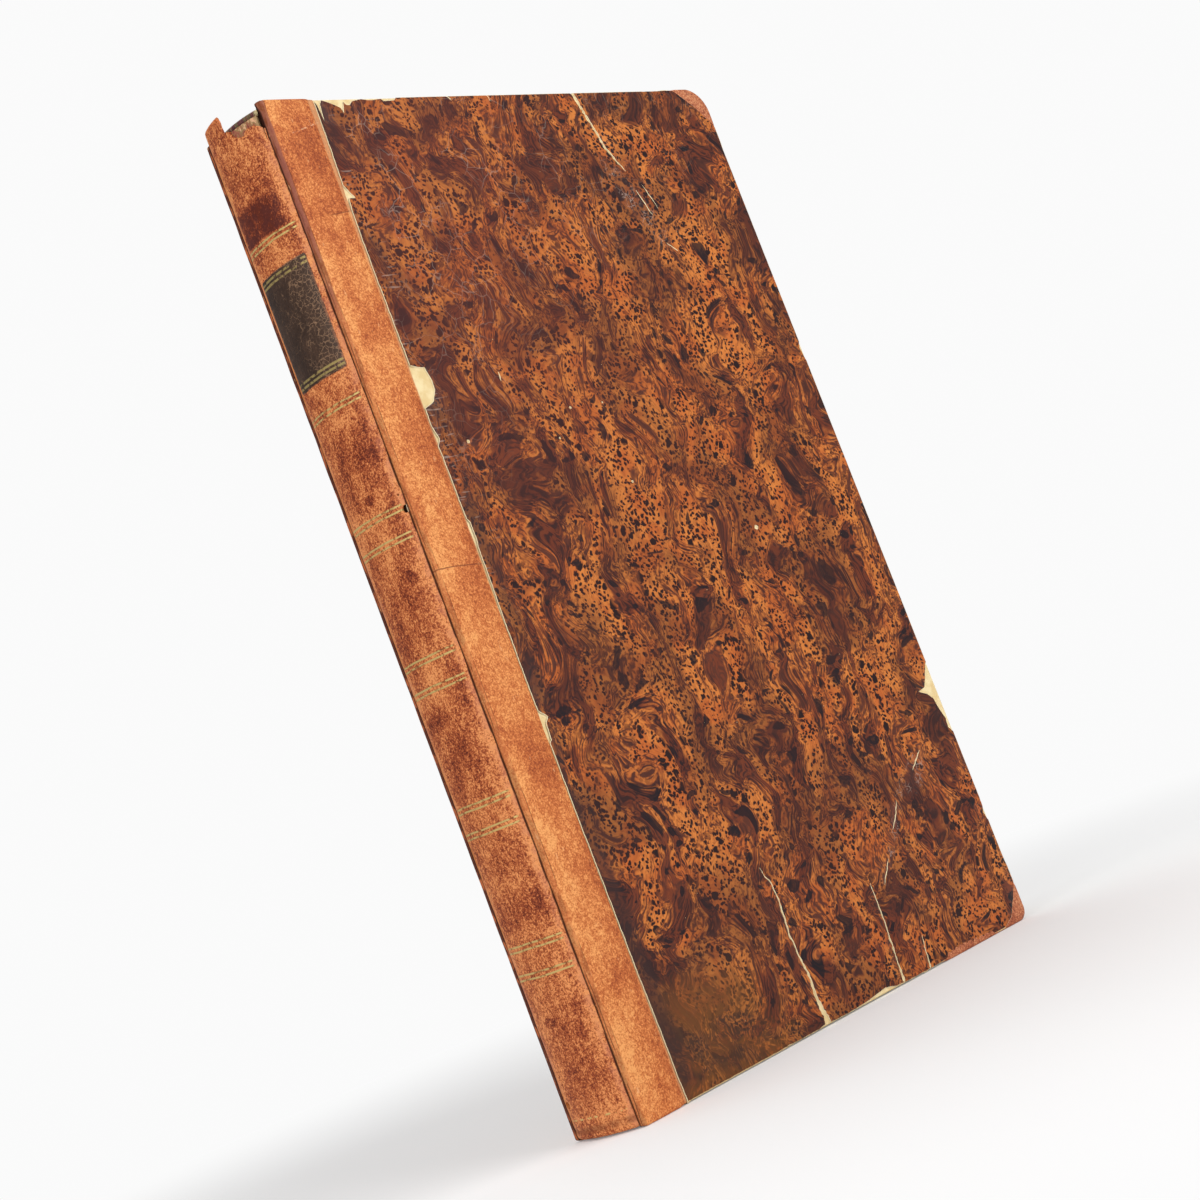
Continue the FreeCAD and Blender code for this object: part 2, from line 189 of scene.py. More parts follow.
def makeMarbledPaper():
    look = marbled
    paint = Paint("marbledPaper")
    u, v = paint.x - jointX, paint.z
    front = paint.y.between(2.0, -2.0)
    drawn = paint.warp(paint.spot, look["curlSize"], look["curl"], 3.1, detail=1.0)
    drawn = paint.warp(drawn, look["swirlSize"], look["swirl"], 7.7, detail=1.0)
    feathered = paint.warp(drawn, 3.6, 2.0, 4.4, detail=1.0)
    hair = paint.noise(feathered, 0.85, 2.2, detail=2.0, rough=0.5, stretch=(1, 1, 11))
    flow = paint.noise(drawn, 8.5, 1.3, detail=2.0, rough=0.5, stretch=(1, 1, 4.5))
    field = flow + (hair - 0.5) * 0.11
    plume = field.between(0.42, 0.53)
    river = field.between(0.525, 0.60)
    strands = hair.between(0.38, 0.62)

    ground = paint.mix(look["amber"], look["orange"], paint.noise(paint.spot, 9, 12.5, detail=2).between(0.36, 0.58))
    ground = paint.mix(ground, look["rust"], hair.between(0.40, 0.66) * 0.38)
    near = paint.warp(paint.spot, 1.5, 1.3, 8.8, detail=1.0)
    dotSpot = paint.warp(near, 9, 5.0, 9.9)
    dots = paint.cells(dotSpot, 1.5)
    dotSize = paint.add("SeparateColor", {}, {0: paint.cells(dotSpot, 1.5, out=1)}, 0)
    crowd = paint.noise(drawn, 10, 11.3, detail=1.5)
    dotted = (dotSize * 0.26 + crowd * 0.42 + 0.06 - dots).between(-0.07, 0.06)
    bigDots = paint.cells(near, 4.3)
    bigSize = paint.add("SeparateColor", {}, {0: paint.cells(near, 4.3, out=1)}, 0)
    dotted = dotted.most((bigSize * 0.52 + crowd * 0.30 - 0.25 - bigDots).between(-0.05, 0.04))
    calm = 1 - plume * 0.72
    ground = paint.mix(ground, look["rust"], (dotSize * 0.26 + crowd * 0.42 + 0.16 - dots).between(-0.08, 0.08)
                       * calm * 0.6)
    ground = paint.mix(ground, look["speck"], dotted * calm)

    brush = paint.mix(look["rust"], look["river"], hair.between(0.46, 0.58))
    ground = paint.mix(ground, brush, (plume * strands * 0.95 + plume * 0.15).clamp())
    riverTone = paint.mix(look["river"], look["riverDeep"],
                          (paint.noise(drawn, 7, 21.0, detail=2, stretch=(1, 1, 2)) + hair * 0.3).between(0.52, 0.74))
    riverTone = paint.mix(riverTone, look["rust"], hair.between(0.60, 0.42) * 0.55)
    ground = paint.mix(ground, riverTone, river * 0.94)
    inkSpot = paint.warp(drawn, 3.0, 3.0, 16.3, detail=2.0)
    inkSize = paint.add("SeparateColor", {}, {0: paint.cells(inkSpot, 7.0, out=1)}, 0)
    ink = (inkSize * 0.36 + flow * 0.5 - 0.23 - paint.cells(inkSpot, 7.0) + (hair - 0.5) * 0.12).between(-0.02, 0.05)
    ground = paint.mix(ground, look["blob"], ink * 0.88)
    shade = paint.noise(drawn, 30, 18.0, detail=2).between(0.45, 0.60)
    ground = paint.mix(ground, look["shade"], shade * 0.50)

    # browner by the head and the joint, a smeared wash at the tail, a dark band beside the strip
    ruddy = (v.between(150, 270) * u.between(150, 60) * front).clamp()
    ground = paint.mix(ground, look["ruddy"], ruddy * 0.24)
    smeared = (u + v * 0.8 + (flow - 0.5) * 60).between(105, 60) * v.between(44, 24) * front
    wash = paint.mix(look["wash"], look["washDeep"],
                     paint.noise(drawn, 9, 31.0, detail=3, stretch=(2.5, 1, 1)).between(0.40, 0.62))
    ground = paint.mix(ground, wash, (smeared * (0.55 + strands * 0.4)).clamp())
    edge = paint.noise(paint.spot, 14, 17.7, detail=2, stretch=(1, 1, 2.2)).between(0.40, 0.56)
    edge = u.between(29.5, 23.5) * edge
    ground = paint.mix(ground, look["edgeBand"], (edge * 0.7 * front).clamp())

    # fine pale cracks in the size coat, strongest at the head by the joint
    reach = ((v - 205) / 95 - (u - 60) / 150).clamp()
    crazeSpot = paint.warp(paint.spot, 6.0, 3.5, 19.0, detail=2.0)
    craze = paint.cells(crazeSpot, 9.0, "DISTANCE_TO_EDGE").between(0.018, 0.004)
    craze = craze.most(paint.cells(crazeSpot, 4.6, "DISTANCE_TO_EDGE").between(0.026, 0.005)
                       * paint.noise(paint.spot, 13, 23.0).between(0.55, 0.63))
    crazed = craze * paint.noise(paint.spot, 16, 24.0, detail=2).between(0.40, 0.60) * (reach * front * 0.34 + 0.02)
    # the scuffed ground beside the long tear and across the lower fore-edge side
    scuffSpot = paint.warp(paint.spot, 3.0, 2.5, 19.5, detail=2.0)
    scuffed = paint.cells(scuffSpot, 2.6, "DISTANCE_TO_EDGE").between(0.05, 0.01).most(
        paint.noise(paint.spot, 0.9, 24.5, detail=2).between(0.62, 0.68))
    zones = paint.patch(u, v, 156, 295, 24, 6.5, -63).most(paint.patch(u, v, 187, 66.5, 13, 6, 38)).most(
        paint.patch(u, v, 166, 53, 24, 3.0, 47) * 0.8)
    crazed = crazed.most(scuffed * zones.between(0.05, 0.75)
                         * paint.noise(paint.spot, 5, 24.8, detail=2).between(0.40, 0.62) * front * 0.7)
    ground = paint.mix(ground, look["scuffed"], zones * front * 0.30)
    ticks = paint.noise(paint.spot, 1.1, 25.0, detail=1.0, stretch=(7, 1, 0.8)).between(0.62, 0.70)
    ticks = ticks * u.between(34, 24) * v.between(150, 185) * front
    ticks = ticks * paint.noise(paint.spot, 14, 26.0).between(0.45, 0.6)
    ground = paint.mix(ground, look["cracked"], crazed.most(ticks * 0.5).clamp())

    # rubbed through along the arrises
    rim = u.between(216.9, 217.7).most(v.between(339.0, 339.7)).most(v.between(1.2, 0.5))
    arris = abs(paint.y).between(15.55, 15.95).most(abs(paint.y).between(14.35, 14.0)) * 0.42 + 0.58
    rubbed = (rim * arris * 0.9 + paint.noise(paint.spot, 2.2, 27.0, detail=3) - 0.62).between(0.30, 0.50)
    specks = paint.noise(paint.spot, 0.8, 28.0, detail=1).between(0.80, 0.83)
    ground = paint.mix(ground, look["rubbed"], rubbed.most(specks * 0.8).clamp())
    # the sheet's own pale core, where it is torn
    torn = paint.add("Attribute", {"attribute_name": "torn"}, {}, "Fac")
    ground = paint.mix(ground, look["core"], torn)

    relief = paint.noise(paint.spot, 1.6, 29.0, detail=3, rough=0.6)
    rise = paint.bump(relief, 0.05, 0.6)
    shine = paint.noise(paint.spot, 9, 33.0, detail=3)
    return paint.finish({"Base Color": ground, "Roughness": shine * 0.16 + 0.34 + rubbed * 0.3, "Normal": rise,
                         "Specular IOR Level": 0.12})


leatherTones = {
    "spine": {"pale": tint(242, 160, 98), "light": tint(206, 118, 66), "mid": tint(160, 74, 40),
              "dark": tint(98, 38, 22)},
    "strip": {"pale": tint(244, 170, 102), "light": tint(218, 132, 72), "mid": tint(188, 98, 50),
              "dark": tint(140, 64, 34)},
    "corner": {"pale": tint(216, 148, 104), "light": tint(190, 112, 74), "mid": tint(168, 90, 58),
               "dark": tint(120, 60, 40)},
}


def leatherBase(paint, tones, patch, depth, contrast, seed, force=1.0):
    # pale flecks over a dark ground, denser and darker in soft patches
    patches = paint.noise(paint.spot, patch, seed, detail=3, rough=0.55, stretch=(1, 1, 1.5))
    grain = paint.noise(paint.spot, 0.62, seed + 1, detail=2, rough=0.75)
    fleck = paint.noise(paint.spot, 1.5, seed + 2, detail=3, rough=0.75, stretch=(1, 1, 1.2))
    tone = depth + (patches - 0.5) * contrast + (grain - 0.5) * (2.1 * force) + (fleck - 0.5) * (1.3 * force)
    return paint.ramp(tone,
                      [(0.08, tones["pale"]), (0.34, tones["light"]), (0.6, tones["mid"]), (0.92, tones["dark"])])


def leatherRelief(paint, seed, force=1.0, sunk=None):
    grain = paint.noise(paint.spot, 0.5, seed, detail=2, rough=0.6)
    pits = paint.cells(paint.spot, 1.1)
    height = grain * (0.42 * force) + pits * (0.5 * force)
    return paint.bump(height if sunk is None else height - sunk, 0.12, 0.6)


spineLook = {
    "depth": 0.385, "patch": 8.5, "contrast": 1.2,
    "purple": tint(84, 36, 32), "shoulder": tint(208, 128, 96), "backEdge": tint(214, 128, 52),
    "pressed": tint(122, 70, 34),
    "gold": tint(222, 194, 122), "raw": tint(94, 42, 26), "rolled": tint(206, 112, 56), "smudge": tint(120, 60, 34),
    "rules": (298.9, 240.7, 202.8, 194.0, 156.2, 147.0, 108.4, 100.1, 62.4, 53.4), "footRule": 7.0,
    # the darker compartments: from, to, how much
    "panels": ((205, 238, 0.17), (159, 191, 0.14), (111, 144, 0.16), (65, 97, 0.12), (10, 50, 0.08))}


def giltRules(paint, heights, half, seed, gap=1.6, width=0.58):
    wobble = (paint.noise(paint.spot, 9, seed, detail=1) - 0.5) * 0.5
    lines = None
    for height in heights:
        near = paint.z - height + wobble
        one = abs(near - gap / 2).between(width * 0.62, width * 0.38)
        two = abs(near + gap / 2).between(width * 0.62, width * 0.38)
        pair = one.most(two)
        lines = pair if lines is None else lines.most(pair)
    inside = abs(paint.y - 0.4).between(half + 0.4, half - 0.4)
    worn = paint.noise(paint.spot, 2.4, seed + 1, detail=3, rough=0.65).between(0.36, 0.5)
    return lines * inside, lines * inside * worn


def makeSpineLeather():
    look, tones = spineLook, leatherTones["spine"]
    paint = Paint("spineLeather")
    u, s, z = paint.x - jointX, paint.y, paint.z
    wave = paint.noise(paint.spot, 8, 40.0, detail=2) - 0.5
    head = z.between(292, 304) * z.between(336, 326) * 0.12
    purple = z.between(300.2, 301.4) * (z + wave * 6).between(315, 309) * (s + wave * 4).between(-11.0, -8.0)
    purple = purple * s.between(13.6, 12.0) * 0.42
    panels = None
    for low, high, force in look["panels"]:
        panel = z.between(low, low + 7) * z.between(high, high - 7) * force
        panels = panel if panels is None else panels + panel
    centred = abs(s + wave * 3).between(13.5, 9.0)
    tone = look["depth"] + (panels + head) * centred + purple - abs(s).between(11.0, 13.6) * 0.2
    stains = paint.patch(s, z, -7.5, 181.6, 3.2, 2.3, 60).most(paint.patch(s, z, -2.0, 209.3, 2.6, 2.0)).most(
        paint.patch(s, z, 4.5, 38, 3.5, 2.2))
    colour = leatherBase(paint, tones, look["patch"], tone + (stains + wave * 0.6).between(0.1, 0.6) * 0.34,
                         look["contrast"], 41.0)
    purpled = (purple * 2.0).clamp() * paint.noise(paint.spot, 3, 44.0, detail=4, rough=0.65).between(0.62, 0.42)
    colour = paint.mix(colour, look["purple"], purpled * 0.75)
    pinkish = abs(s + wave * 2).between(11.2, 13.6) * 0.5
    colour = paint.mix(colour, look["shoulder"], pinkish * paint.noise(paint.spot, 3, 45.0).between(0.35, 0.6))
    orange = s.between(12.0, 13.8) * paint.noise(paint.spot, 5, 46.0, stretch=(1, 1, 3)).between(0.4, 0.55)
    colour = paint.mix(colour, look["backEdge"], orange * 0.7)
    blind, gold = giltRules(paint, look["rules"], 13.2, 47.0)
    foot = paint.strip(z + (paint.noise(paint.spot, 9, 50.0) - 0.5) * 0.6, look["footRule"], 0.25, 0.12)
    foot = foot * paint.noise(paint.spot, 2.4, 51.0, detail=3).between(0.46, 0.58) * abs(s).between(13, 12)
    gold = gold.most(foot)
    colour = paint.mix(colour, look["pressed"], blind * 0.7)
    colour = paint.mix(colour, look["gold"], gold * 0.9)
    # scuffed raw edges, and the dark torn rim at the head
    raw = abs(s).between(13.75, 14.1)
    raw = raw * paint.noise(paint.spot, 3, 52.0, stretch=(1, 1, 3)).between(0.42, 0.58)
    colour = paint.mix(colour, look["raw"], raw)
    rolled = z.between(341.5, 343.2)
    colour = paint.mix(colour, look["rolled"], rolled * 0.75)
    smudge = z.between(1.8, 3.2) * z.between(5.4, 3.8) * paint.noise(paint.spot, 6, 53.0).between(0.35, 0.55)
    colour = paint.mix(colour, look["smudge"], smudge * 0.6)
    rise = leatherRelief(paint, 54.0, sunk=blind * 0.9)
    rough = paint.noise(paint.spot, 5, 55.0, detail=2) * 0.2 + 0.42
    return paint.finish({"Base Color": colour, "Roughness": rough - gold * 0.08, "Metallic": gold * 0.35,
                         "Normal": rise, "Specular IOR Level": 0.2})


stripLook = {
    "depth": 0.45, "patch": 13, "contrast": 1.05, "force": 0.74, "creaseHigh": 297.8, "creaseLow": 180.2,
    "jointLow": tint(196, 108, 62), "jointHigh": tint(146, 84, 70), "streak": tint(118, 56, 34),
    # valleyShade is painted shade for the joint groove, not a colour of the leather
    "backEdge": tint(92, 44, 28), "crack": tint(84, 38, 24), "valleyShade": tint(52, 24, 18), "crease": tint(118, 56, 34),
    "dash": tint(240, 190, 150), "curled": tint(112, 58, 40), "skived": tint(226, 170, 120),
    "scuff": tint(242, 186, 132)}


def makeStripLeather():
    look, tones = stripLook, leatherTones["strip"]
    paint = Paint("stripLeather")
    u, z = paint.x - jointX, paint.z
    front = paint.y.between(2.0, -2.0)
    wave = paint.noise(paint.spot, 9, 60.0, detail=2) - 0.5
    darker = (z + wave * 0.8 - u * 0.12).between(297.6, 298.2) * z.between(336, 318) * 0.17 * front
    tone = look["depth"] + darker + u.between(13, 19.5) * 0.05 - (u + wave * 7).between(9.0, 4.0) * 0.12
    colour = leatherBase(paint, tones, look["patch"], tone, look["contrast"], 61.0, look["force"])
    edge = (u + wave * 0.7).between(1.5, 1.0)
    upper = (z + wave * 60).between(235, 300) * front
    mauve = paint.mix(look["jointLow"], look["jointHigh"], upper)
    mauve = paint.mix(mauve, look["streak"],
                      paint.noise(paint.spot, 1.6, 65.0, detail=3, stretch=(1, 1, 5)).between(0.48, 0.60))
    mauve = paint.mix(look["backEdge"], mauve,
                      front.most(paint.noise(paint.spot, 3, 65.5, detail=2, stretch=(1, 1, 2)).between(0.50, 0.60)))
    colour = paint.mix(colour, mauve, edge * (upper * 0.4 + 0.45).most(1 - front))
    line = paint.noise(paint.spot, 4, 64.0, detail=2, stretch=(1, 1, 4)).between(0.40, 0.54)
    line = paint.strip(u + wave * 0.5, 1.35, 0.10, 0.10) * line
    split = paint.noise(paint.spot, 5, 63.0, detail=2, stretch=(1, 1, 4)).between(0.44, 0.56)
    split = paint.strip(abs(paint.y) + wave * 0.9, 15.5, 0.12, 0.14) * split
    line = line.most(split * u.between(1.2, 0.9))
    colour = paint.mix(colour, look["crack"], line * 0.85)
    # painted shade: the strip's run down the board's back edge, inside the joint groove, is darkened nearly to black
    valleyShade = abs(paint.y).between(15.0, 14.3) * u.between(1.0, 0.8)
    colour = paint.mix(colour, look["valleyShade"], valleyShade * 0.9)
    crease = paint.strip(z + wave * 1.2 - u * 0.12, look["creaseHigh"], 0.22, 0.18) * u.between(9, 14)
    crease = crease.most(paint.strip(z + wave * 2.2 + u * 0.05, look["creaseLow"], 0.2, 0.18)) * front
    colour = paint.mix(colour, look["crease"], crease * 0.75)
    dash = paint.noise(paint.spot, 0.7, 66.0).between(0.5, 0.58) * front
    dash = paint.strip(z - u * 0.28, 325.5, 0.22, 0.15) * u.between(6, 7) * dash
    colour = paint.mix(colour, look["dash"], dash * 0.7)
    colour = paint.mix(colour, look["curled"], z.between(338.6, 339.6) * u.between(0.6, 0.1) * front * 0.8)
    skived = (u + wave * 0.5).between(18.9, 19.7)
    colour = paint.mix(colour, look["skived"], skived * 0.55)
    scuff = paint.noise(paint.spot, 1.3, 67.0, detail=2, stretch=(1.0, 1, 3.2)).between(0.68, 0.74)
    colour = paint.mix(colour, look["scuff"], scuff * 0.5)
    rise = leatherRelief(paint, 68.0, 0.8, sunk=crease.most(line))
    rough = paint.noise(paint.spot, 7, 69.0, detail=2) * 0.2 + 0.46
    return paint.finish({"Base Color": colour, "Roughness": rough, "Normal": rise, "Specular IOR Level": 0.2})


def makeCornerLeather():
    paint = Paint("cornerLeather")
    colour = leatherBase(paint, leatherTones["corner"], 7, 0.42, 0.8, 71.0)
    knock = paint.noise(paint.spot, 2.6, 74.0, detail=3).between(0.62, 0.72)
    colour = paint.mix(colour, tint(112, 60, 46), knock * 0.6)
    rise = leatherRelief(paint, 75.0, 0.8)
    return paint.finish({"Base Color": colour, "Roughness": 0.55, "Normal": rise, "Specular IOR Level": 0.3})


labelLook = {
    "deep": tint(40, 26, 20), "ground": tint(62, 43, 33), "worn": tint(92, 66, 50), "hair": tint(176, 138, 106),
    "shoulder": tint(110, 80, 60), "rubbed": tint(176, 112, 78), "gold": tint(178, 156, 96),
    "rules": (288.1, 286.6, 253.4, 251.9)}


def makeLabelLeather():
    look = labelLook
    paint = Paint("labelLeather")
    s, z = paint.y, paint.z
    grain = paint.noise(paint.spot, 0.7, 80.0, detail=3, rough=0.6)
    blot = paint.noise(paint.spot, 7, 81.0, detail=3)
    colour = paint.ramp(blot * 0.7 + grain * 0.5 - 0.1,
                        [(0.3, look["deep"]), (0.55, look["ground"]), (0.85, look["worn"])])
    side = s.between(6.0, -11.5)  # the shoulder by the front joint is rubbed grey
    hairSpot = paint.warp(paint.spot, 2.2, 1.8, 82.0, detail=2.0)
    hairs = paint.cells(hairSpot, 1.7, "DISTANCE_TO_EDGE").between(0.07, 0.01)
    hairs = hairs.most(paint.noise(hairSpot, 0.5, 82.5, detail=2, stretch=(1, 4, 1)).between(0.58, 0.68) * 0.7)
    scuff = hairs * (paint.noise(paint.spot, 2.4, 82.7, detail=3) + side * 0.22).between(0.48, 0.74)
    colour = paint.mix(colour, look["hair"], scuff * (0.35 + side * 0.4))
    colour = paint.mix(colour, look["shoulder"], side * 0.2)
    rim = abs(s).between(11.3, 12.3).most(abs(z - 270).between(18.9, 19.4))
    rub = rim * paint.noise(paint.spot, 1.8, 83.0, detail=3).between(0.42, 0.6)
    colour = paint.mix(colour, look["rubbed"], rub * 0.7)
    lines = None
    for height in look["rules"]:
        line = abs(z - height + (paint.noise(paint.spot, 9, 84.0) - 0.5) * 0.5).between(0.44, 0.30)
        lines = line if lines is None else lines.most(line)
    lines = lines * abs(s).between(12.2, 11.8)
    gold = lines * paint.noise(paint.spot, 2.0, 85.0, detail=3).between(0.38, 0.52)
    colour = paint.mix(colour, look["gold"], gold * 0.85)
    crack = paint.cells(paint.warp(paint.spot, 3, 1.5, 86.0), 2.4, "DISTANCE_TO_EDGE").between(0.05, 0.01)
    rise = paint.bump(grain - crack * 0.5, 0.08, 0.8)
    return paint.finish({"Base Color": colour, "Roughness": 0.42 + scuff * 0.25, "Metallic": gold * 0.35,
                         "Normal": rise, "Specular IOR Level": 0.25})


def makePlain(name, low, high, size, seed, rough=0.8, spots=None, relief=0.05, stretch=(1, 1, 1)):
    # a soft two-tone paper, card or cord; spots is the colour of its foxing
    paint = Paint(name)
    blend = paint.noise(paint.spot, size, seed, detail=4, rough=0.6, stretch=stretch)
    colour = paint.mix(low, high, blend.between(0.35, 0.65))
    if spots:
        fox = paint.noise(paint.spot, 3.5, seed + 1, detail=3, rough=0.6).between(0.66, 0.76)
        haze = paint.noise(paint.spot, 26, seed + 2, detail=2).between(0.52, 0.72)
        colour = paint.mix(colour, spots, (fox * 0.5 + haze * 0.22).clamp())
    fibre = paint.noise(paint.spot, 0.6, seed + 3, detail=3, rough=0.65)
    rise = paint.bump(fibre, relief, 0.5)
    return paint.finish({"Base Color": colour, "Roughness": rough, "Normal": rise, "Specular IOR Level": 0.25})


liningLook = {
    # hole is painted shade: the dark inside of the holes through the spine leather, painted on the solid card
    "card": tint(176, 142, 100), "cardPale": tint(206, 176, 130), "hole": tint(38, 20, 14),
    "torn": [(0.34, tint(104, 50, 42)), (0.45, tint(170, 98, 80)), (0.54, tint(150, 122, 78)),
             (0.64, tint(232, 180, 140))]}


def makeLining():
    look = liningLook
    paint = Paint("liningCard")
    s, z = paint.y, paint.z
    colour = paint.mix(look["card"], look["cardPale"],
                       paint.noise(paint.spot, 4, 115.0, detail=3).between(0.35, 0.65))
    shred = paint.noise(paint.spot, 1.5, 116.0, detail=4, rough=0.7, stretch=(1, 1, 1.6))
    torn = paint.ramp(shred, look["torn"])
    colour = paint.mix(colour, torn, z.between(324, 328) * (s + (shred - 0.5) * 4).between(-11.6, -10.4))
    # painted shade: a near-black patch on the solid card under each hole in the spine leather stands for the dark
    # inside of a hole
    holes = paint.patch(s, z, -14.0, 202, 2.6, 2.6).most(paint.patch(s, z, 12.2, 12.1, 3.4, 3.0)).most(
        paint.patch(s, z, -13, 206.8, 1.2, 1.2))
    colour = paint.mix(colour, look["hole"], holes.between(0.0, 0.2))
    rise = paint.bump(shred, 0.25, 0.8)
    return paint.finish({"Base Color": colour, "Roughness": 0.85, "Normal": rise, "Specular IOR Level": 0.2})


bandLook = {
    "stripes": [(0.3, tint(92, 44, 48)), (0.46, tint(122, 66, 58)), (0.55, tint(116, 104, 66)),
                (0.66, tint(186, 140, 116))],
    "ends": tint(234, 214, 164), "dirt": tint(58, 42, 34)}


def makeBandSilk():
    look = bandLook
    paint = Paint("bandSilk")
    s = paint.y
    pick = paint.noise(paint.vector("MULTIPLY", paint.spot, (0.0, 1.0, 0.0)), 1.7, 95.0, detail=1)
    colour = paint.ramp(pick, look["stripes"])
    colour = paint.mix(colour, look["ends"], abs(s).between(10.6, 11.6))
    dirt = paint.noise(paint.spot, 1.4, 96.0, detail=3).between(0.5, 0.72)
    colour = paint.mix(colour, look["dirt"], dirt * 0.6)
    strand = paint.add("TexWave", {"bands_direction": "X"},
                       {"Vector": paint.spot, "Scale": 2.4, "Distortion": 1.0}, 1)
    return paint.finish({"Base Color": colour, "Roughness": 0.6, "Normal": paint.bump(strand, 0.05, 0.6)})


leafLook = {
    "page": tint(232, 214, 174), "pagePale": tint(242, 228, 196), "dust": tint(124, 88, 58),
    "fox": tint(176, 126, 74), "glue": tint(58, 34, 22),
    "edges": [(0.3, tint(158, 116, 72)), (0.5, tint(208, 170, 116)), (0.68, tint(232, 204, 156))]}


def makeLeafPaper():
    look = leafLook
    paint = Paint("leafPaper")
    inner = abs(paint.x - jointX - 108).between(105.6, 104.0) * abs(paint.z - 170).between(165.6, 164.6)
    haze = paint.noise(paint.spot, 24, 101.0, detail=3)
    colour = paint.mix(look["page"], look["pagePale"], haze.between(0.30, 0.70))
    sheetTone = paint.noise(paint.vector("MULTIPLY", paint.spot, (0.01, 1.0, 0.01)), 0.7, 102.0, detail=2)
    edgeTone = paint.ramp(sheetTone, look["edges"])
    dust = paint.noise(paint.spot, 2.0, 103.0, detail=3, stretch=(18, 0.5, 18)).between(0.45, 0.68)
    edgeTone = paint.mix(edgeTone, look["dust"], dust * 0.45)
    colour = paint.mix(edgeTone, colour, inner)
    fox = paint.noise(paint.spot, 3.0, 104.0, detail=3).between(0.68, 0.78)
    colour = paint.mix(colour, look["fox"], fox * 0.5)
    colour = paint.mix(colour, look["glue"], (paint.x - jointX).between(5.5, 4.0))  # glued up at the back
    rise = paint.bump(paint.noise(paint.spot, 0.8, 105.0, detail=3), 0.03, 0.5)
    return paint.finish({"Base Color": colour, "Roughness": 0.85, "Normal": rise, "Specular IOR Level": 0.2})


paperMaterial = makeMarbledPaper()
spineMaterial = makeSpineLeather()
stripMaterial = makeStripLeather()
cornerMaterial = makeCornerLeather()
labelMaterial = makeLabelLeather()
boardMaterial = makePlain("boardPulp", tint(232, 203, 146), tint(247, 226, 176), 5, 90.0, spots=tint(196, 150, 98))
pasteMaterial = makePlain("endPaper", tint(234, 216, 176), tint(242, 228, 194), 45, 110.0, spots=tint(204, 164, 114),
                          relief=0.03)
liningMaterial = makeLining()
cordMaterial = makePlain("hempCord", tint(168, 138, 96), tint(212, 186, 142), 0.8, 120.0, relief=0.12,
                         stretch=(1, 3, 1))
leafMaterial = makeLeafPaper()
silkMaterial = makeBandSilk()
print("finishes made:", len(bpy.data.materials))


# a board of the front cover, and the way a sheet folds over its edges
board = {"right": 217.6, "foot": 0.6, "head": 339.4, "outer": 16.15, "inner": 13.75,
         "rim": 0.55, "headRound": 9.4, "tailRound": 3.9}
rimLength = math.pi / 2 * (board["rim"] + 0.3)
flatLength = board["outer"] - board["inner"] - 2 * board["rim"]
wrapLength = 2 * rimLength + flatLength
rightEnd, lowEnd, topEnd = board["right"] - board["rim"], board["foot"] + board["rim"], board["head"] - board["rim"]
headRound, tailRound = board["headRound"] - board["rim"], board["tailRound"] - board["rim"]
turnedIn = wrapLength + 11


def rimPoint(s):  # past the start of a board's rounded edge: way out, depth, and the normal's two parts
    rim, thick = board["rim"], board["outer"] - board["inner"]
    if s < rimLength:
        a = s / rimLength * math.pi / 2
        return rim * math.sin(a), rim * (1 - math.cos(a)), math.sin(a), -math.cos(a)
    if s < rimLength + flatLength:
        return rim, rim + s - rimLength, 1.0, 0.0
    if s < wrapLength:
        a = (s - rimLength - flatLength) / rimLength * math.pi / 2
        return rim * math.cos(a), thick - rim * (1 - math.sin(a)), math.cos(a), math.sin(a)
    return wrapLength - s, thick, 0.0, 1.0


def coverPlace(u, v):  # a point of a flat sheet, folded over the front board's edges
    outer = board["outer"]
    for cx, cz, r, up in ((rightEnd - headRound, topEnd - headRound, headRound, 1),
                          (rightEnd - tailRound, lowEnd + tailRound, tailRound, -1)):
        if u > cx and (v - cz) * up > 0:
            dx, dz = u - cx, v - cz
            d = math.hypot(dx, dz)
            if d <= r:
                break
            out, depth, across, down = rimPoint(d - r)
            k = (r + max(out, -0.96 * r)) / d
            return cx + dx * k, depth - outer, cz + dz * k, dx / d * across, down, dz / d * across
    else:
        if u > rightEnd:
            out, depth, across, down = rimPoint(u - rightEnd)
            return rightEnd + out, depth - outer, v, across, down, 0.0
        if v > topEnd:
            out, depth, across, down = rimPoint(v - topEnd)
            return u, depth - outer, topEnd + out, 0.0, down, across
        if v < lowEnd:
            out, depth, across, down = rimPoint(lowEnd - v)
            return u, depth - outer, lowEnd - out, 0.0, down, -across
    return u, -outer, v, 0.0, -1.0, 0.0


def rimRows(steps=(0.0, 0.33, 0.66, 1.0), spacing=2.6):
    # lines beside the whole edge of a board, where a sheet over it needs points
    offsets = [k * rimLength for k in steps]
    offsets += [rimLength + flatLength + k * rimLength for k in steps[:-1]] + [wrapLength, wrapLength + 6]
    rows = []
    for s in offsets:
        row = []
        count = round(200 / spacing)
        row += [(18 + (rightEnd - tailRound - 18) * k / count, lowEnd - s) for k in range(count)]
        row += [(rightEnd - tailRound + (tailRound + s) * math.sin(a),
                 lowEnd + tailRound - (tailRound + s) * math.cos(a))
                for a in (math.pi / 2 * k / 8 for k in range(9))]
        low, high = lowEnd + tailRound, topEnd - headRound
        count = round((high - low) / spacing)
        row += [(rightEnd + s, low + (high - low) * k / count) for k in range(1, count)]
        row += [(rightEnd - headRound + (headRound + s) * math.cos(a),
                 topEnd - headRound + (headRound + s) * math.sin(a))
                for a in (math.pi / 2 * k / 12 for k in range(13))]
        count = round(190 / spacing)
        row += [(rightEnd - headRound - (rightEnd - headRound - 18) * k / count, topEnd + s)
                for k in range(1, count + 1)]
        rows.append(row)
    return rows


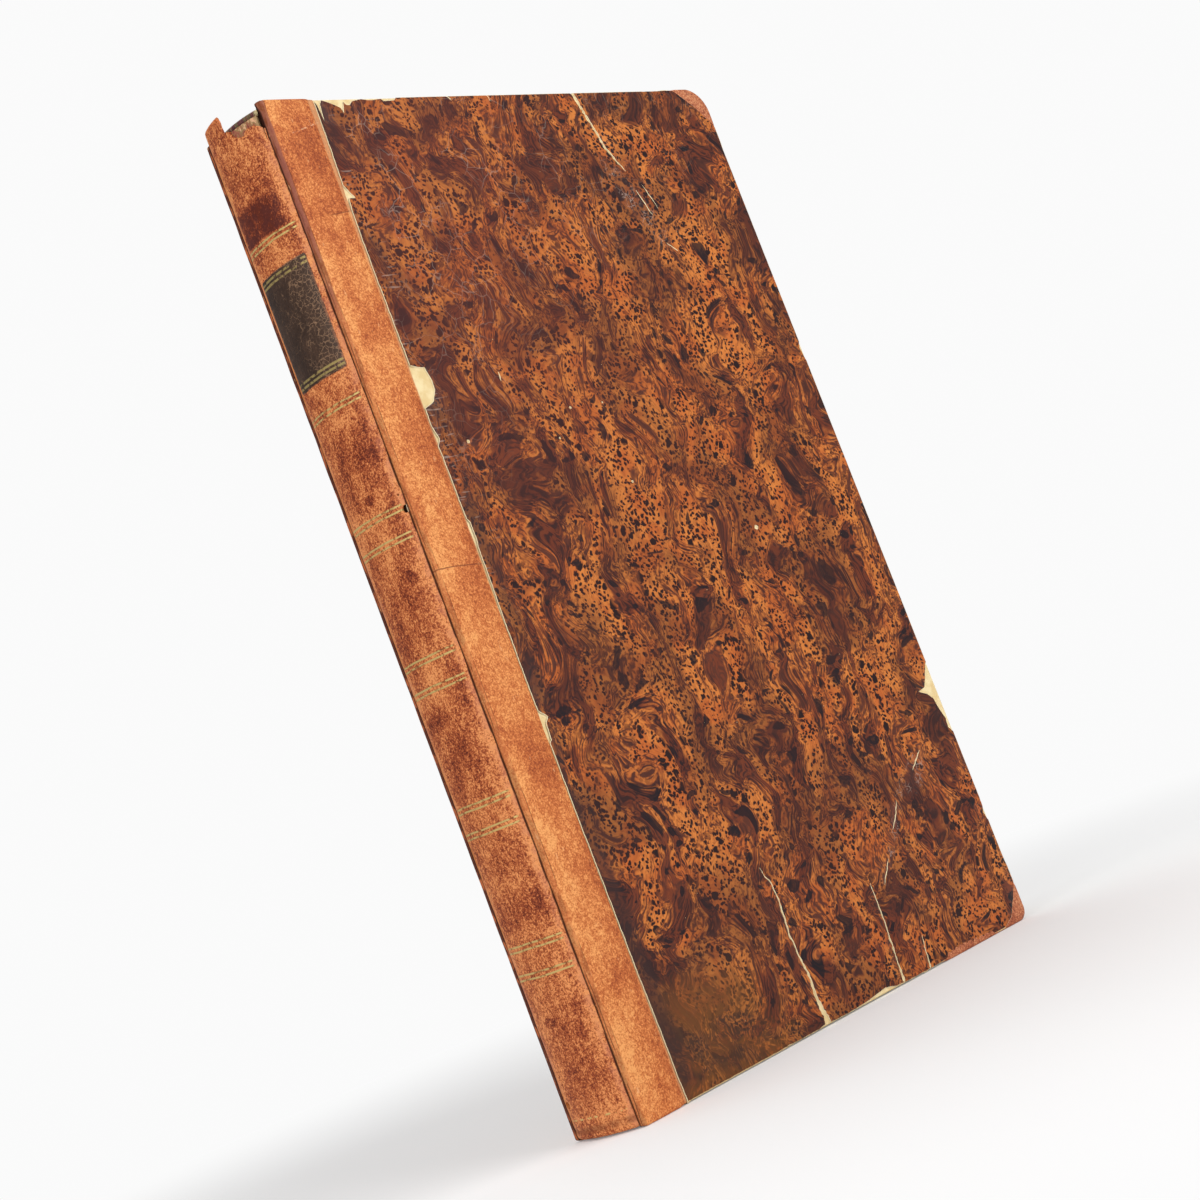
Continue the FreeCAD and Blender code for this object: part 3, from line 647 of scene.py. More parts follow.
def ragged(line, step, amount, seed):
    out = []
    for (ax, ay), (bx, by) in zip(line, line[1:]):
        length = math.hypot(bx - ax, by - ay)
        count = max(1, round(length / step))
        for k in range(count):
            t = k / count
            x, y = ax + (bx - ax) * t, ay + (by - ay) * t
            push = noise.noise(Vector((x / 3.1, y / 3.1, seed))) * 0.7
            push += noise.noise(Vector((x / 0.8, y / 0.8, seed + 5))) * 0.6
            out.append((x - (by - ay) / max(length, 1e-6) * push * amount,
                        y + (bx - ax) / max(length, 1e-6) * push * amount))
    out.append(line[-1])
    return out


def slit(line, widths, seed, step=0.9):  # a long narrow tear along a line
    left, right = [], []
    total = sum(math.dist(a, b) for a, b in zip(line, line[1:]))
    run = 0.0
    for a, b in zip(line, line[1:]):
        length = math.dist(a, b)
        count = max(1, round(length / step))
        nx, ny = -(b[1] - a[1]) / length, (b[0] - a[0]) / length
        for k in range(count):
            t = k / count
            x, y = a[0] + (b[0] - a[0]) * t, a[1] + (b[1] - a[1]) * t
            way = (run + length * t) / total * (len(widths) - 1)
            low = min(int(way), len(widths) - 2)
            half = (widths[low] + (widths[low + 1] - widths[low]) * (way - low)) / 2
            sway = noise.noise(Vector((x / 2.2, y / 2.2, seed))) * 0.5
            rough = 0.75 + 0.6 * noise.noise(Vector((x / 0.9, y / 0.9, seed + 3)))
            left.append((x + nx * (sway + half * rough), y + ny * (sway + half * rough)))
            right.append((x + nx * (sway - half * rough), y + ny * (sway - half * rough)))
        run += length
    return left + [line[-1]] + right[::-1]


def inside(point, loop):
    x, y = point
    odd = False
    for (ax, ay), (bx, by) in zip(loop, loop[1:] + loop[:1]):
        if (ay > y) != (by > y) and x < ax + (bx - ax) * (y - ay) / (by - ay):
            odd = not odd
    return odd


def skin(name, outline, place, material, holes=(), rows=(), low=0.0, high=0.35, side=1, sharp=0.7, bevel=0.0):
    # a closed sheet between two heights over place(); side -1 lays it on the back cover
    # bevel slants its torn edges, so that they show their core
    points, pairs = [], []
    for loop in [outline, *holes]:
        first, last = len(points), len(points) + len(loop) - 1
        pairs += [(k, k + 1) for k in range(first, last)] + [(last, first)]
        points += [Vector(p) for p in loop]
    for row in rows:
        pairs += [(k, k + 1) for k in range(len(points), len(points) + len(row) - 1)]
        points += [Vector(p) for p in row]
    flat, _, faces, _, _, _ = delaunay_2d_cdt(points, pairs, [], 0, 1e-4)
    frames = [(hole, min(p[0] for p in hole), max(p[0] for p in hole), min(p[1] for p in hole),
               max(p[1] for p in hole)) for hole in holes]
    kept = []
    for f in faces:
        middle = (flat[f[0]] + flat[f[1]] + flat[f[2]]) / 3
        lost = any(a < middle.x < b and c < middle.y < d and inside(middle, hole) for hole, a, b, c, d in frames)
        if inside(middle, outline) and not lost:
            kept.append(tuple(f))
    faces = kept
    used = sorted({k for f in faces for k in f})
    index = {k: n for n, k in enumerate(used)}
    count = len(used)
    edges = {(a, b) for f in faces for a, b in zip(f, f[1:] + f[:1])}
    push = {}
    for a, b in edges:
        if (b, a) not in edges:
            way = Vector((flat[b].y - flat[a].y, flat[a].x - flat[b].x)).normalized()
            for k in (a, b):
                push[k] = push.get(k, Vector((0.0, 0.0))) + way * 0.5
    top, under, outward = [], [], []
    for k in used:
        u, v = flat[k]
        x, y, z, nx, ny, nz = place(u, v)
        y, ny = y * side, ny * side
        up = high(u, v) if callable(high) else high
        down = low(u, v) if callable(low) else low
        top.append(mm(x + nx * up, y + ny * up, z + nz * up))
        outward.append(Vector((nx, ny, nz)))
        if bevel and k in push:
            x, y, z, nx, ny, nz = place(u + push[k].x * bevel, v + push[k].y * bevel)
            y, ny = y * side, ny * side
        under.append(mm(x + nx * down, y + ny * down, z + nz * down))
    faces = [tuple(index[k] for k in f) for f in faces]
    turn = sum((top[b] - top[a]).cross(top[c] - top[a]).dot(outward[a]) for a, b, c in faces[:200])
    if turn < 0:
        faces = [f[::-1] for f in faces]
    edges = {(a, b): None for f in faces for a, b in zip(f, f[1:] + f[:1])}
    walls = [(b, a, a + count, b + count) for a, b in edges if (b, a) not in edges]
    mesh = bpy.data.meshes.new(name)
    mesh.from_pydata(top + under, [], faces + [tuple(k + count for k in f[::-1]) for f in faces] + walls)
    torn = mesh.attributes.new("torn", "FLOAT", "CORNER")
    torn.data.foreach_set("value", [0.0] * (6 * len(faces)) + [1.0] * (4 * len(walls)))
    return finishPiece(name, mesh, material, sharp)


def finishPiece(name, mesh, material, sharp=0.7):
    mesh.validate()
    mesh.materials.clear()
    mesh.materials.append(material)
    mesh.shade_smooth()
    mesh.set_sharp_from_angle(angle=sharp)
    piece = bpy.data.objects.new(name, mesh)
    bpy.context.scene.collection.objects.link(piece)
    return piece


def attach(piece, body, slot, *nodes):
    if body:
        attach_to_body(piece, body)
    if nodes:
        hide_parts(*nodes)


# marbled paper, front: measured torn edges and losses, in mm from the joint and the tail
paperSheet = {"height": 0.25, "thick": 0.15, "lift": 0.26, "ragged": 0.22, "bevel": 0.2}
leftEdge = [(34.2, 338.2), (32.9, 334.2), (32.2, 336.2), (28.7, 337.8), (25.3, 339.1), (24.2, 337.8), (23.3, 331.5),
            (22.7, 337.4), (21.9, 338.4), (21.6, 325), (21.2, 315), (20.9, 309.0), (24.2, 304.6), (21.4, 304.4),
            (20.7, 300.7), (20.3, 280), (20.4, 259.3), (20.3, 246.4), (26.2, 245.1), (27.3, 240.4), (27.2, 237.4),
            (24.8, 233.5), (21.6, 232.2), (20.1, 231.6), (19.9, 225.4), (21.3, 221.2), (19.7, 218.8), (19.9, 194),
            (20.8, 192.6), (20.9, 187), (20.3, 184.4), (20.2, 172.2), (19.8, 165.1), (19.4, 141.4), (19.5, 129.4),
            (22.9, 126.7), (20.9, 124.7), (20.5, 119.3), (19.5, 118.6), (19.4, 88.8), (19.6, 76.4), (19.8, 41.8),
            (20.1, 29.6), (20.2, 9.7), (20.5, 1.0), (20.6, lowEnd - turnedIn)]
headEdge = [(58.7, topEnd + turnedIn), (58.7, 339.9), (57, 338.4), (51.8, 338.1), (51, 339.0), (46, 338.6),
            (42.2, 339.1), (38, 338.3), (36.5, 337.0), (35, 337.3), (34.2, 338.2)]
headCornerEdge = [(rightEnd + turnedIn, 321.2), (219.0, 321.0), (216.1, 325.3), (213.1, 328.3), (210.1, 331.9),
                  (206.3, 334.9), (204.5, 336.2), (201.3, 338.9), (196.9, 339.9), (190.0, 339.6), (184.0, 339.4),
                  (182.6, 341.5), (182.0, topEnd + turnedIn)]
tailCornerEdge = [(150, lowEnd - turnedIn), (150.2, -0.8), (152.3, 0.5), (163.3, 1.0), (174.6, 1.5), (185, 0.9),
                  (193.1, 0.5), (202.4, 0.5), (208.3, 3.3), (214.0, 9.6), (217.6, 14.6), (218.8, 21.8),
                  (rightEnd + turnedIn, 22.6)]
losses = [
    [(217.1, 233.4), (216.2, 231.0), (216.5, 228.8), (217.3, 225.6), (219.6, 225.2), (220.1, 234)],
    [(216.6, 101.7), (212.4, 95.8), (210.6, 93.4), (205.9, 92.7), (210.6, 90.8), (213.2, 88.4), (214.3, 83.9),
     (215.9, 79.8),
     (215.2, 76.4), (217.2, 74.4), (220.2, 73.6), (220.4, 102.8), (217.8, 102.4)],
    [(217.3, 47.4), (217.0, 44.4), (216.1, 42), (216.9, 39.3), (219.8, 38.2), (220.2, 48)],
    [(71.4, 1.0), (78, 0.7), (85.4, 0.5), (92, 1.3), (98, 1.0), (104, 0.7), (110.5, 1.1), (118, 1.5), (127, 2.4),
     (133, 1.2),
     (141.7, 0.6), (150.5, 0.7), (150.5, -1.4), (130, -1.0), (110, -1.2), (90, -0.9), (71.4, -0.4)],
]
tears = [
    ([(89, 56.9), (91.8, 50.3), (92.3, 44.1), (91.3, 33.6), (91.4, 26.9), (93.1, 17.5), (92.4, 11.1), (93.6, 0.4)],
     (0.25, 0.8, 1.0, 0.8, 1.2, 1.9, 3.3)),
    ([(139.8, 36.6), (139.5, 28.9), (139.2, 21.3), (138.5, 13), (137.6, 0.6)], (0.3, 0.8, 0.8, 1.1, 1.6)),
    ([(155.9, 12.5), (153.7, 0.6)], (0.2, 0.7, 1.2)),
    ([(144.3, 340.6), (146.7, 332.5), (149.7, 322.5), (150.9, 317.1), (154.3, 311.6), (157.4, 307.6)],
     (2.4, 1.7, 1.4, 1.3, 1.1, 0.35)),
    ([(158.6, 299.9), (160.4, 295.6), (162.6, 289.7)], (0.2, 0.8, 0.2)),
    ([(162.9, 302), (165.2, 297), (167, 291.8)], (0.15, 0.6, 0.15)),
    ([(164.1, 278.8), (168.9, 274.7)], (0.15, 0.7, 0.2)),
    ([(193.5, 72.6), (185.3, 66.8)], (0.2, 0.75, 0.2)),
    ([(170.0, 59.2), (167.1, 54.7), (162, 50)], (0.2, 0.7, 0.2)),
    ([(57.1, 240.0), (56.8, 236.5)], (0.2, 0.8, 0.2)),
    ([(154.0, 41.6), (146.5, 33.6)], (0.15, 0.6, 0.15)),
    ([(81.5, 340.4), (83.2, 337.6)], (1.2, 0.2)),
    ([(101.0, 340.3), (101.9, 336.8)], (0.9, 0.1)),
]
chips = [(152.6, 168.1, 0.95), (99.4, 194.2, 0.5), (83.6, 223.7, 0.5), (32.8, 218.6, 0.7), (99.6, 223.5, 0.35),
         (73.4, 214.0, 0.4)]


def chip(x, y, radius, seed=1.0):
    def uneven(a, row):
        return 1 + 0.5 * noise.noise(Vector((math.cos(a) * 2 + x, math.sin(a) * 2 + y, row)))
    return [(x + radius * math.cos(a) * uneven(a, seed), y + radius * math.sin(a) * uneven(a, seed + 4))
            for a in (k / 9 * 2 * math.pi for k in range(9))]


def paperHeight(u, v):  # the sheet rides up over the leather's pared edges
    rise = paperSheet["lift"] * smooth(3.6, 1.2, u - 19.5)
    for cx, cz, size in ((218, 340, 26), (218, 0, 24)):
        rise = max(rise, 0.22 * smooth(size, size - 4, math.hypot(u - cx, v - cz)))
    dent = 0.05 * noise.noise(Vector((u / 26, v / 26, 2.0)))
    return paperSheet["height"] + rise + dent


def paperUnder(u, v):
    return paperHeight(u, v) - paperSheet["thick"]


def layPaper(name, outline, holes, side):
    rows = rimRows() + [[(u, v) for v in range(6, 336, 6)] for u in range(24, 214, 6)]
    return skin(name, outline, coverPlace, paperMaterial, holes, rows, paperUnder, paperHeight, side,
                bevel=paperSheet["bevel"])


def makeFrontPaper():
    rough, step = paperSheet["ragged"], 0.9
    outline = [(20.6, lowEnd - turnedIn)]
    outline += ragged(tailCornerEdge, step, rough, 1.0)
    outline += ragged(headCornerEdge, step, rough, 2.0)
    outline += ragged(headEdge, step * 0.7, rough, 3.0)
    outline += ragged(leftEdge, step * 0.7, rough, 4.0)[1:-1]
    holes = [ragged(loss + loss[:1], 0.7, rough, 5.0 + k)[:-1] for k, loss in enumerate(losses)]
    holes += [slit(line, widths, 20.0 + k) for k, (line, widths) in enumerate(tears)]
    holes += [chip(x, y, r, k) for k, (x, y, r) in enumerate(chips)]
    return layPaper("front_marbled_sheet", outline, holes, 1)


def makeBackPaper():
    rough, step = paperSheet["ragged"] * 0.8, 1.2
    outline = [(20.2, lowEnd - turnedIn), (198.5, lowEnd - turnedIn)]
    outline += ragged([(198.5, 0.4), (201, 1.4), (218.4, 20.6), (rightEnd + turnedIn, 21.4)], step, rough, 11.0)
    outline += ragged(
        [(rightEnd + turnedIn, 319.4), (218.4, 320.0), (200.6, 338.6), (198.2, 340), (198.2, topEnd + turnedIn)],
        step, rough, 12.0)
    outline += [(20.3, topEnd + turnedIn)]
    outline += ragged([(20.3, 341), (20.1, 250), (20.5, 160), (19.9, 90), (20.2, 1.0)], step, rough * 1.4, 13.0)
    holes = [ragged(loss + loss[:1], 0.8, rough, 15.0)[:-1] for loss in (
        [(217.3, 150), (216.2, 146), (216.6, 141), (217.4, 138), (219.7, 138), (220, 150)],
        [(120, 1.2), (131, 1.9), (142, 1.0), (142, -1.2), (120, -1.2)])]
    holes += [chip(61, 238, 0.8, 3), chip(140, 88, 0.6, 5), chip(176, 262, 0.5, 6)]
    return layPaper("back_marbled_sheet", outline, holes, -1)


attach(makeFrontPaper(), "front_cover", "marbled_paper", "front_side_paper")
attach(makeBackPaper(), "back_cover", "marbled_paper", "back_side_paper")
print("marbled papers laid")


# leather corners
cornerSkin = {"thick": 0.56, "pared": 0.16, "paring": 3.0, "tuck": 1.3}


def cornerArc(cx, cz, radius, start, end, count=10):
    return [(cx + radius * math.cos(start + (end - start) * k / count),
             cz + radius * math.sin(start + (end - start) * k / count))
            for k in range(count + 1)]


def makeCorner(name, head, edge, side):
    # edge runs from the turn-in at the fore edge to the one at the head or tail
    r = headRound if head else tailRound
    cx = rightEnd - r
    cz = topEnd - r if head else lowEnd + r
    up = 1 if head else -1
    first = (rightEnd + turnedIn - 2, edge[0][1])
    last = (edge[-1][0], (topEnd if head else lowEnd) + up * (turnedIn - 2))
    outline = ragged([first] + edge + [last], 1.2, 0.12, len(name))
    arc = cornerArc(cx, cz, r + wrapLength + 0.9 * r, up * math.pi / 2, 0)
    outline += [(cx, cz + up * (r + turnedIn - 2))] + arc + [(cx + r + turnedIn - 2, cz)]

    def height(u, v):
        gap = min(math.dist((u, v), (a[0] + (b[0] - a[0]) * t, a[1] + (b[1] - a[1]) * t))
                  for a, b in zip(edge, edge[1:]) for t in (0, 0.25, 0.5, 0.75, 1))
        full = smooth(0.2, cornerSkin["paring"], gap)
        return cornerSkin["pared"] + (cornerSkin["thick"] - cornerSkin["pared"]) * full
    rows = rimRows()
    rows += [[(u, v) for v in range(-2, 344, 2)] for u in range(182, 218, 3)]
    return skin(name, outline, coverPlace, cornerMaterial, (), rows, 0.02, height, side)


def tucked(edge, up):  # the leather runs on under the paper
    return [(u - cornerSkin["tuck"] * 0.7, v - up * cornerSkin["tuck"] * 0.7) for u, v in edge]


frontHeadEdge = tucked(
    [(219.5, 320.4), (216.1, 325.3), (213.1, 328.3), (210.1, 331.9), (206.3, 334.9), (204.5, 336.2), (201.3, 338.9),
     (198, 341.4)], 1)
frontTailEdge = tucked(
    [(219.4, 21.8), (217.6, 14.6), (214.0, 9.6), (208.3, 3.3), (203, 1.0), (190, 1.4), (176, 2.2), (166, 1.6),
     (163, -1.5)], -1)
backHeadEdge = tucked([(219.2, 319.8), (201, 338.4), (198, 341.4)], 1)
backTailEdge = tucked([(219.2, 21.0), (201, 1.6), (198, -1.4)], -1)
for body, end, edge, side in (("front", "head", frontHeadEdge, 1), ("front", "tail", frontTailEdge, 1),
                              ("back", "head", backHeadEdge, -1), ("back", "tail", backTailEdge, -1)):
    name = f"{body}_{end}_corner"
    attach(makeCorner(name + "_leather", end == "head", edge, side), body + "_cover", "leather_corner", name)
print("leather corners laid")


# the strip of spine leather on each board, with the joint's leather up the board's back edge
stripSkin = {
    "thick": 0.5, "pared": 0.14, "paring": 3.5, "full": 16.75, "backReach": 20.1,
    # its far edge: height from the tail, reach from the joint line
    "endAt": [(-20, 20.3), (0, 20.3), (42, 19.6), (89, 19.3), (141, 19.3), (194, 19.75), (232, 19.95), (259, 20.2),
              (280, 20.25), (300, 20.6), (315, 21.1), (325, 21.5), (338, 21.8), (360, 21.8)],
    # from the joint, up the board's back edge and over its face
    "profile": [(0.46, 13.95), (0.36, 14.35), (0.36, 14.9), (0.42, 15.5), (0.58, 16.0), (0.85, 16.38), (1.2, 16.52),
                (1.45, 16.5), (1.75, 16.6), (2.2, 16.7), (3.0, 16.74), (5.0, 16.75), (7.5, 16.75), (10.0, 16.75),
                (12.5, 16.75), (15.0, 16.75)],
    "bendFrom": 0.7, "bendTo": 1.25}


def makeStrip(name, side, seed):
    def endAt(v):
        for (a, low), (b, high) in zip(stripSkin["endAt"], stripSkin["endAt"][1:]):
            if v <= b:
                return low + (high - low) * (v - a) / (b - a)
    rows = [lowEnd - turnedIn, lowEnd - wrapLength]
    inner = rimLength + flatLength  # where the edge begins to round inwards
    rows += [lowEnd - s for s in (rimLength * 2 / 3 + inner, rimLength / 3 + inner, inner,
                                  rimLength, rimLength * 0.66, rimLength * 0.33, 0)]
    rows += [lowEnd + (topEnd - lowEnd) * k / 130 for k in range(1, 130)]
    rows += [topEnd + (lowEnd - v) for v in reversed(rows[:9])]
    top, under = [], []
    for v in rows:
        over = max(v - topEnd, lowEnd - v, 0.0)
        out, depth, across, down = rimPoint(over) if over > 0 else (0.0, 0.0, 0.0, -1.0)
        z = v if over == 0 else (topEnd + out if v > topEnd else lowEnd - out)
        up = 1 if v > topEnd else -1
        reach = endAt(v) if side > 0 else stripSkin["backReach"]
        reach += 0.32 * noise.noise(Vector((v / 7, seed, 0))) + 0.22 * noise.noise(Vector((v / 1.3, seed, 4))) - 0.1
        profile = stripSkin["profile"] + [(15 + (reach - 15) * k / 5, None) for k in range(1, 6)]
        ups, downs = [], []
        for k, (x, y) in enumerate(profile):
            if y is None:
                thinned = smooth(reach - stripSkin["paring"], reach - 0.2, x)
                y = stripSkin["full"] - (stripSkin["thick"] + 0.1 - stripSkin["pared"]) * thinned
            y += 0.05 * noise.noise(Vector((x / 6, v / 9, seed))) * smooth(2.0, 4.0, x) - 0.03
            x += 0.22 * noise.noise(Vector((v / 11, seed, 9))) * smooth(1.6, 0.6, x)
            lift = y - board["outer"]
            keep = max(0.0, 1 - depth / (board["outer"] - board["inner"]))
            if x < 2.2 and over > 0:  # rounded off where the joint meets the head and the tail
                x += 0.5 * smooth(0.0, 2.0, over) * smooth(2.2, 0.4, x)
            if side > 0 and v > topEnd - 1.5 and x < 3.2:  # a torn bit curls off the head corner
                x -= 1.1 * smooth(topEnd - 1.5, topEnd + 0.4, v) * smooth(3.2, 0.8, x)
            if lift >= 0 or over > 0:
                sunk = -min(lift, 0.0)
                level = max(lift, 0.15)
                base = (x, board["outer"] - depth - sunk * keep, z)
                outerPoint = (x, base[1] - down * level * (1 if lift >= 0 else keep), z + up * across * level)
                innerPoint = (x + (0.3 if x < 0.9 else 0.0), base[1], z)
            else:
                outerPoint = (x, y, z)
                innerPoint = (x + 0.42, y - 0.1, z)
            ups.append(mm(outerPoint[0], -side * outerPoint[1], outerPoint[2]))
            downs.append(mm(innerPoint[0], -side * innerPoint[1], innerPoint[2]))
        top.append(ups)
        under.append(downs)
    wide, tall = len(top[0]), len(top)
    verts = [p for row in top for p in row] + [p for row in under for p in row]
    count = wide * tall
    faces = []
    for j in range(tall - 1):
        for k in range(wide - 1):
            a = j * wide + k
            faces += [(a, a + 1, a + wide + 1, a + wide),
                      (count + a, count + a + wide, count + a + wide + 1, count + a + 1)]
    for k in range(wide - 1):
        a, b = k, (tall - 1) * wide + k
        faces += [(a + 1, a, count + a, count + a + 1), (b, b + 1, count + b + 1, count + b)]
    for j in range(tall - 1):
        a, b = j * wide, j * wide + wide - 1
        faces += [(a, a + wide, count + a + wide, count + a), (b + wide, b, count + b, count + b + wide)]
    if side < 0:
        faces = [f[::-1] for f in faces]
    mesh = bpy.data.meshes.new(name)
    mesh.from_pydata(verts, [], faces)
    return finishPiece(name, mesh, stripMaterial, 0.9)


for name, side, body, node in (("front_strip_leather", 1, "front_cover", "front_spine_strip"),
                               ("back_strip_leather", -1, "back_cover", "back_spine_strip")):
    piece = makeStrip(name, side, 3.0 + side)
    tuple(mm(stripSkin["bendFrom"], 0, 170))
    tuple(mm(stripSkin["bendTo"], 0, 170))
    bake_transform(piece)
    attach(piece, None, "leather_strip", node)
print("joint leather laid")


# spine leather, torn at the head
spine = {"centre": 32.107, "inner": 34.207, "outer": 35.107, "half": 14.2, "headRoll": 342.35, "tailRoll": 1.85,
         "rollRadius": 0.45}
tornHead = [(-14.2, 331.2), (-12.6, 332.6), (-10.9, 333.6), (-7.9, 333.9), (-6.2, 332.6), (-3.8, 332.9),
            (-1.9, 334.2), (-0.9, 335.8), (-0.9, 336.6), (1.0, 337.2), (2.0, 337.8), (2.3, 339.4), (2.3, 341.6),
            (2.9, 343.2), (4.6, 344.2), (7.0, 344.8), (10, 345.2), (12.8, 345.4), (14.2, 343.4)]


def spinePlace(s, z):
    angle = math.asin(max(-1.0, min(1.0, s / spine["outer"])))
    over = max(z - spine["headRoll"], spine["tailRoll"] - z, 0.0)
    up = 1 if z > 100 else -1
    radius, lift, turn = spine["inner"], 0.0, 0.0
    if over > 0:
        level = spine["headRoll"] if up > 0 else spine["tailRoll"]
        reach = spine["rollRadius"] + 0.45
        turn = min(over / reach, 2.5 if up > 0 else math.pi / 2)
        extra = over - turn * reach
        radius -= spine["rollRadius"] * (1 - math.cos(turn)) + extra * math.sin(turn)
        lift = spine["rollRadius"] * math.sin(turn) + extra * math.cos(turn)
        z = level + up * lift
    ca, sa = math.cos(angle), math.sin(angle)
    ct, st = math.cos(turn), math.sin(turn)
    return spine["centre"] - radius * ca, radius * sa, z, -ca * ct, sa * ct, up * st


def spineHeight(s, z):
    level = 0.88
    level += 0.06 * noise.noise(Vector((s / 5, z / 8, 1.0)))
    level -= 0.14 * smooth(0.8, 0.0, abs(z - 3.6)) + 0.16 * smooth(12.6, 14.2, abs(s))
    if z > 330:
        # the cap that is left stands thicker
        level += 0.32 * smooth(338.5, 341.5, z) * smooth(1.6, 3.6, s) * smooth(14.2, 12.6, s)
        level -= 0.35 * smooth(336.5, 333.5, z) * smooth(0.0, -2.0, s) * smooth(333.2 - 3, 333.2, z)
    return level


def makeSpine():
    half = spine["half"]
    outline = ragged([(-half, -2.2), (half, -2.2)], 1.0, 0.2, 31.0)
    outline += ragged([(half, -2.2), (half, 344.6)], 1.2, 0.16, 32.0)[1:]
    outline += ragged(tornHead[::-1], 0.6, 0.35, 33.0)[1:]
    outline += ragged([(-half, 331.2), (-half, -2.2)], 1.2, 0.16, 34.0)[1:-1]
    holes = [[(s, 202 + (z - 202) * 1.5) for s, z in chip(-13.7, 202, 1.0, 41)], chip(-12.9, 206.8, 0.35, 42)]
    holes.append([(s + 0.25 * (z - 12), z) for s, z in chip(12.2, 12.1, 1.25, 44)])
    rows = [[(s, z) for z in range(3, 342, 4)]
            for s in (-12.4, -10.6, -8.8, -7, -5.2, -3.4, -1.7, 0, 1.7, 3.4, 5.2, 7, 8.8, 10.6, 12.4)]
    rolls = [spine["tailRoll"] - k * 0.28 for k in range(7)] + [spine["headRoll"] + k * 0.28 for k in range(10)]
    rows += [[(-14 + k, z) for k in range(29)] for z in rolls + [3.0, 3.6, 4.2]]
    return skin("spine_leather_skin", outline, spinePlace, spineMaterial, holes, rows, 0.02, spineHeight, sharp=0.9)


attach(makeSpine(), "text_block", "spine_leather", "spine_leather")

# label in the second compartment, left bare
label = {"half": 12.3, "foot": 250.6, "head": 289.4, "round": 0.6, "low": 0.93, "high": 1.13}


def makeLabel():
    h, a, b, r = label["half"], label["foot"], label["head"], label["round"]
    corners = [(-h + r, a), (h - r, a), (h, a + r), (h, b - r), (h - r, b), (-h + r, b), (-h, b - r), (-h, a + r),
               (-h + r, a)]
    outline = ragged(corners, 0.7, 0.18, 51.0)[:-1]
    rows = [[(s * 1.4, a + 0.6 + k * 1.1) for k in range(35)] for s in range(-8, 9)]

    def height(s, z):
        edge = min(h - abs(s), z - a, b - z)
        return label["low"] + 0.04 + (label["high"] - label["low"] - 0.04) * smooth(0.0, 0.9, edge)
    return skin("title_label_skin", outline, spinePlace, labelMaterial, (), rows, label["low"] - 0.03, height,
                sharp=0.9)


attach(makeLabel(), "text_block", "label_leather", "title_label")
print("spine and label laid")


def newTree(name, inputs):  # a geometry tree with one group input for each value
    tree = bpy.data.node_groups.new(name, "GeometryNodeTree")
    tree.interface.new_socket("Geometry", in_out="OUTPUT", socket_type="NodeSocketGeometry")
    keys = {}
    kinds = {int: "NodeSocketInt", float: "NodeSocketFloat"}
    for title, value in inputs.items():
        kind = kinds.get(type(value), "NodeSocketMaterial")
        socket = tree.interface.new_socket(title, in_out="INPUT", socket_type=kind)
        socket.default_value = value
        keys[title] = socket.identifier
    given = tree.nodes.new("NodeGroupInput")
    wires = {key: Wire(tree, given.outputs[key]) for key in inputs}

    def add(kind, settings={}, sockets={}, out=0):
        return Wire(tree, makeNode(tree, kind, settings, sockets).outputs[out])
    return tree, keys, wires, add


def grow(name, tree, keys, values, body, slot, nodes, material):
    mesh = bpy.data.meshes.new(name)
    seedling = bpy.data.objects.new(name + "_seed", mesh)
    bpy.context.scene.collection.objects.link(seedling)
    modifier = seedling.modifiers.new("grow", "NODES")
    modifier.node_group = tree
    for title, value in values.items():
        modifier[keys[title]] = value
    graph = bpy.context.evaluated_depsgraph_get()
    grown = bpy.data.meshes.new_from_object(seedling.evaluated_get(graph))
    seedling.modifiers.clear()
    bpy.data.objects.remove(seedling)
    grown.name = name
    grown.materials.clear()
    grown.materials.append(material)
    grown.set_sharp_from_angle(angle=0.7)
    piece = bpy.data.objects.new(name, grown)
    bpy.context.scene.collection.objects.link(piece)
    attach(piece, body, slot, *nodes)
    return piece


leaves = {"count": 118, "half": 12.6, "sheet": 0.19, "foot": 3.5, "head": 336.5, "fore": 214.2, "hollow": 1.6,
          "backCentre": 32.107, "backRadius": 33.607, "stray": 0.32, "gathering": 8, "ripple": 0.18,
          "rippleScale": 30.0}


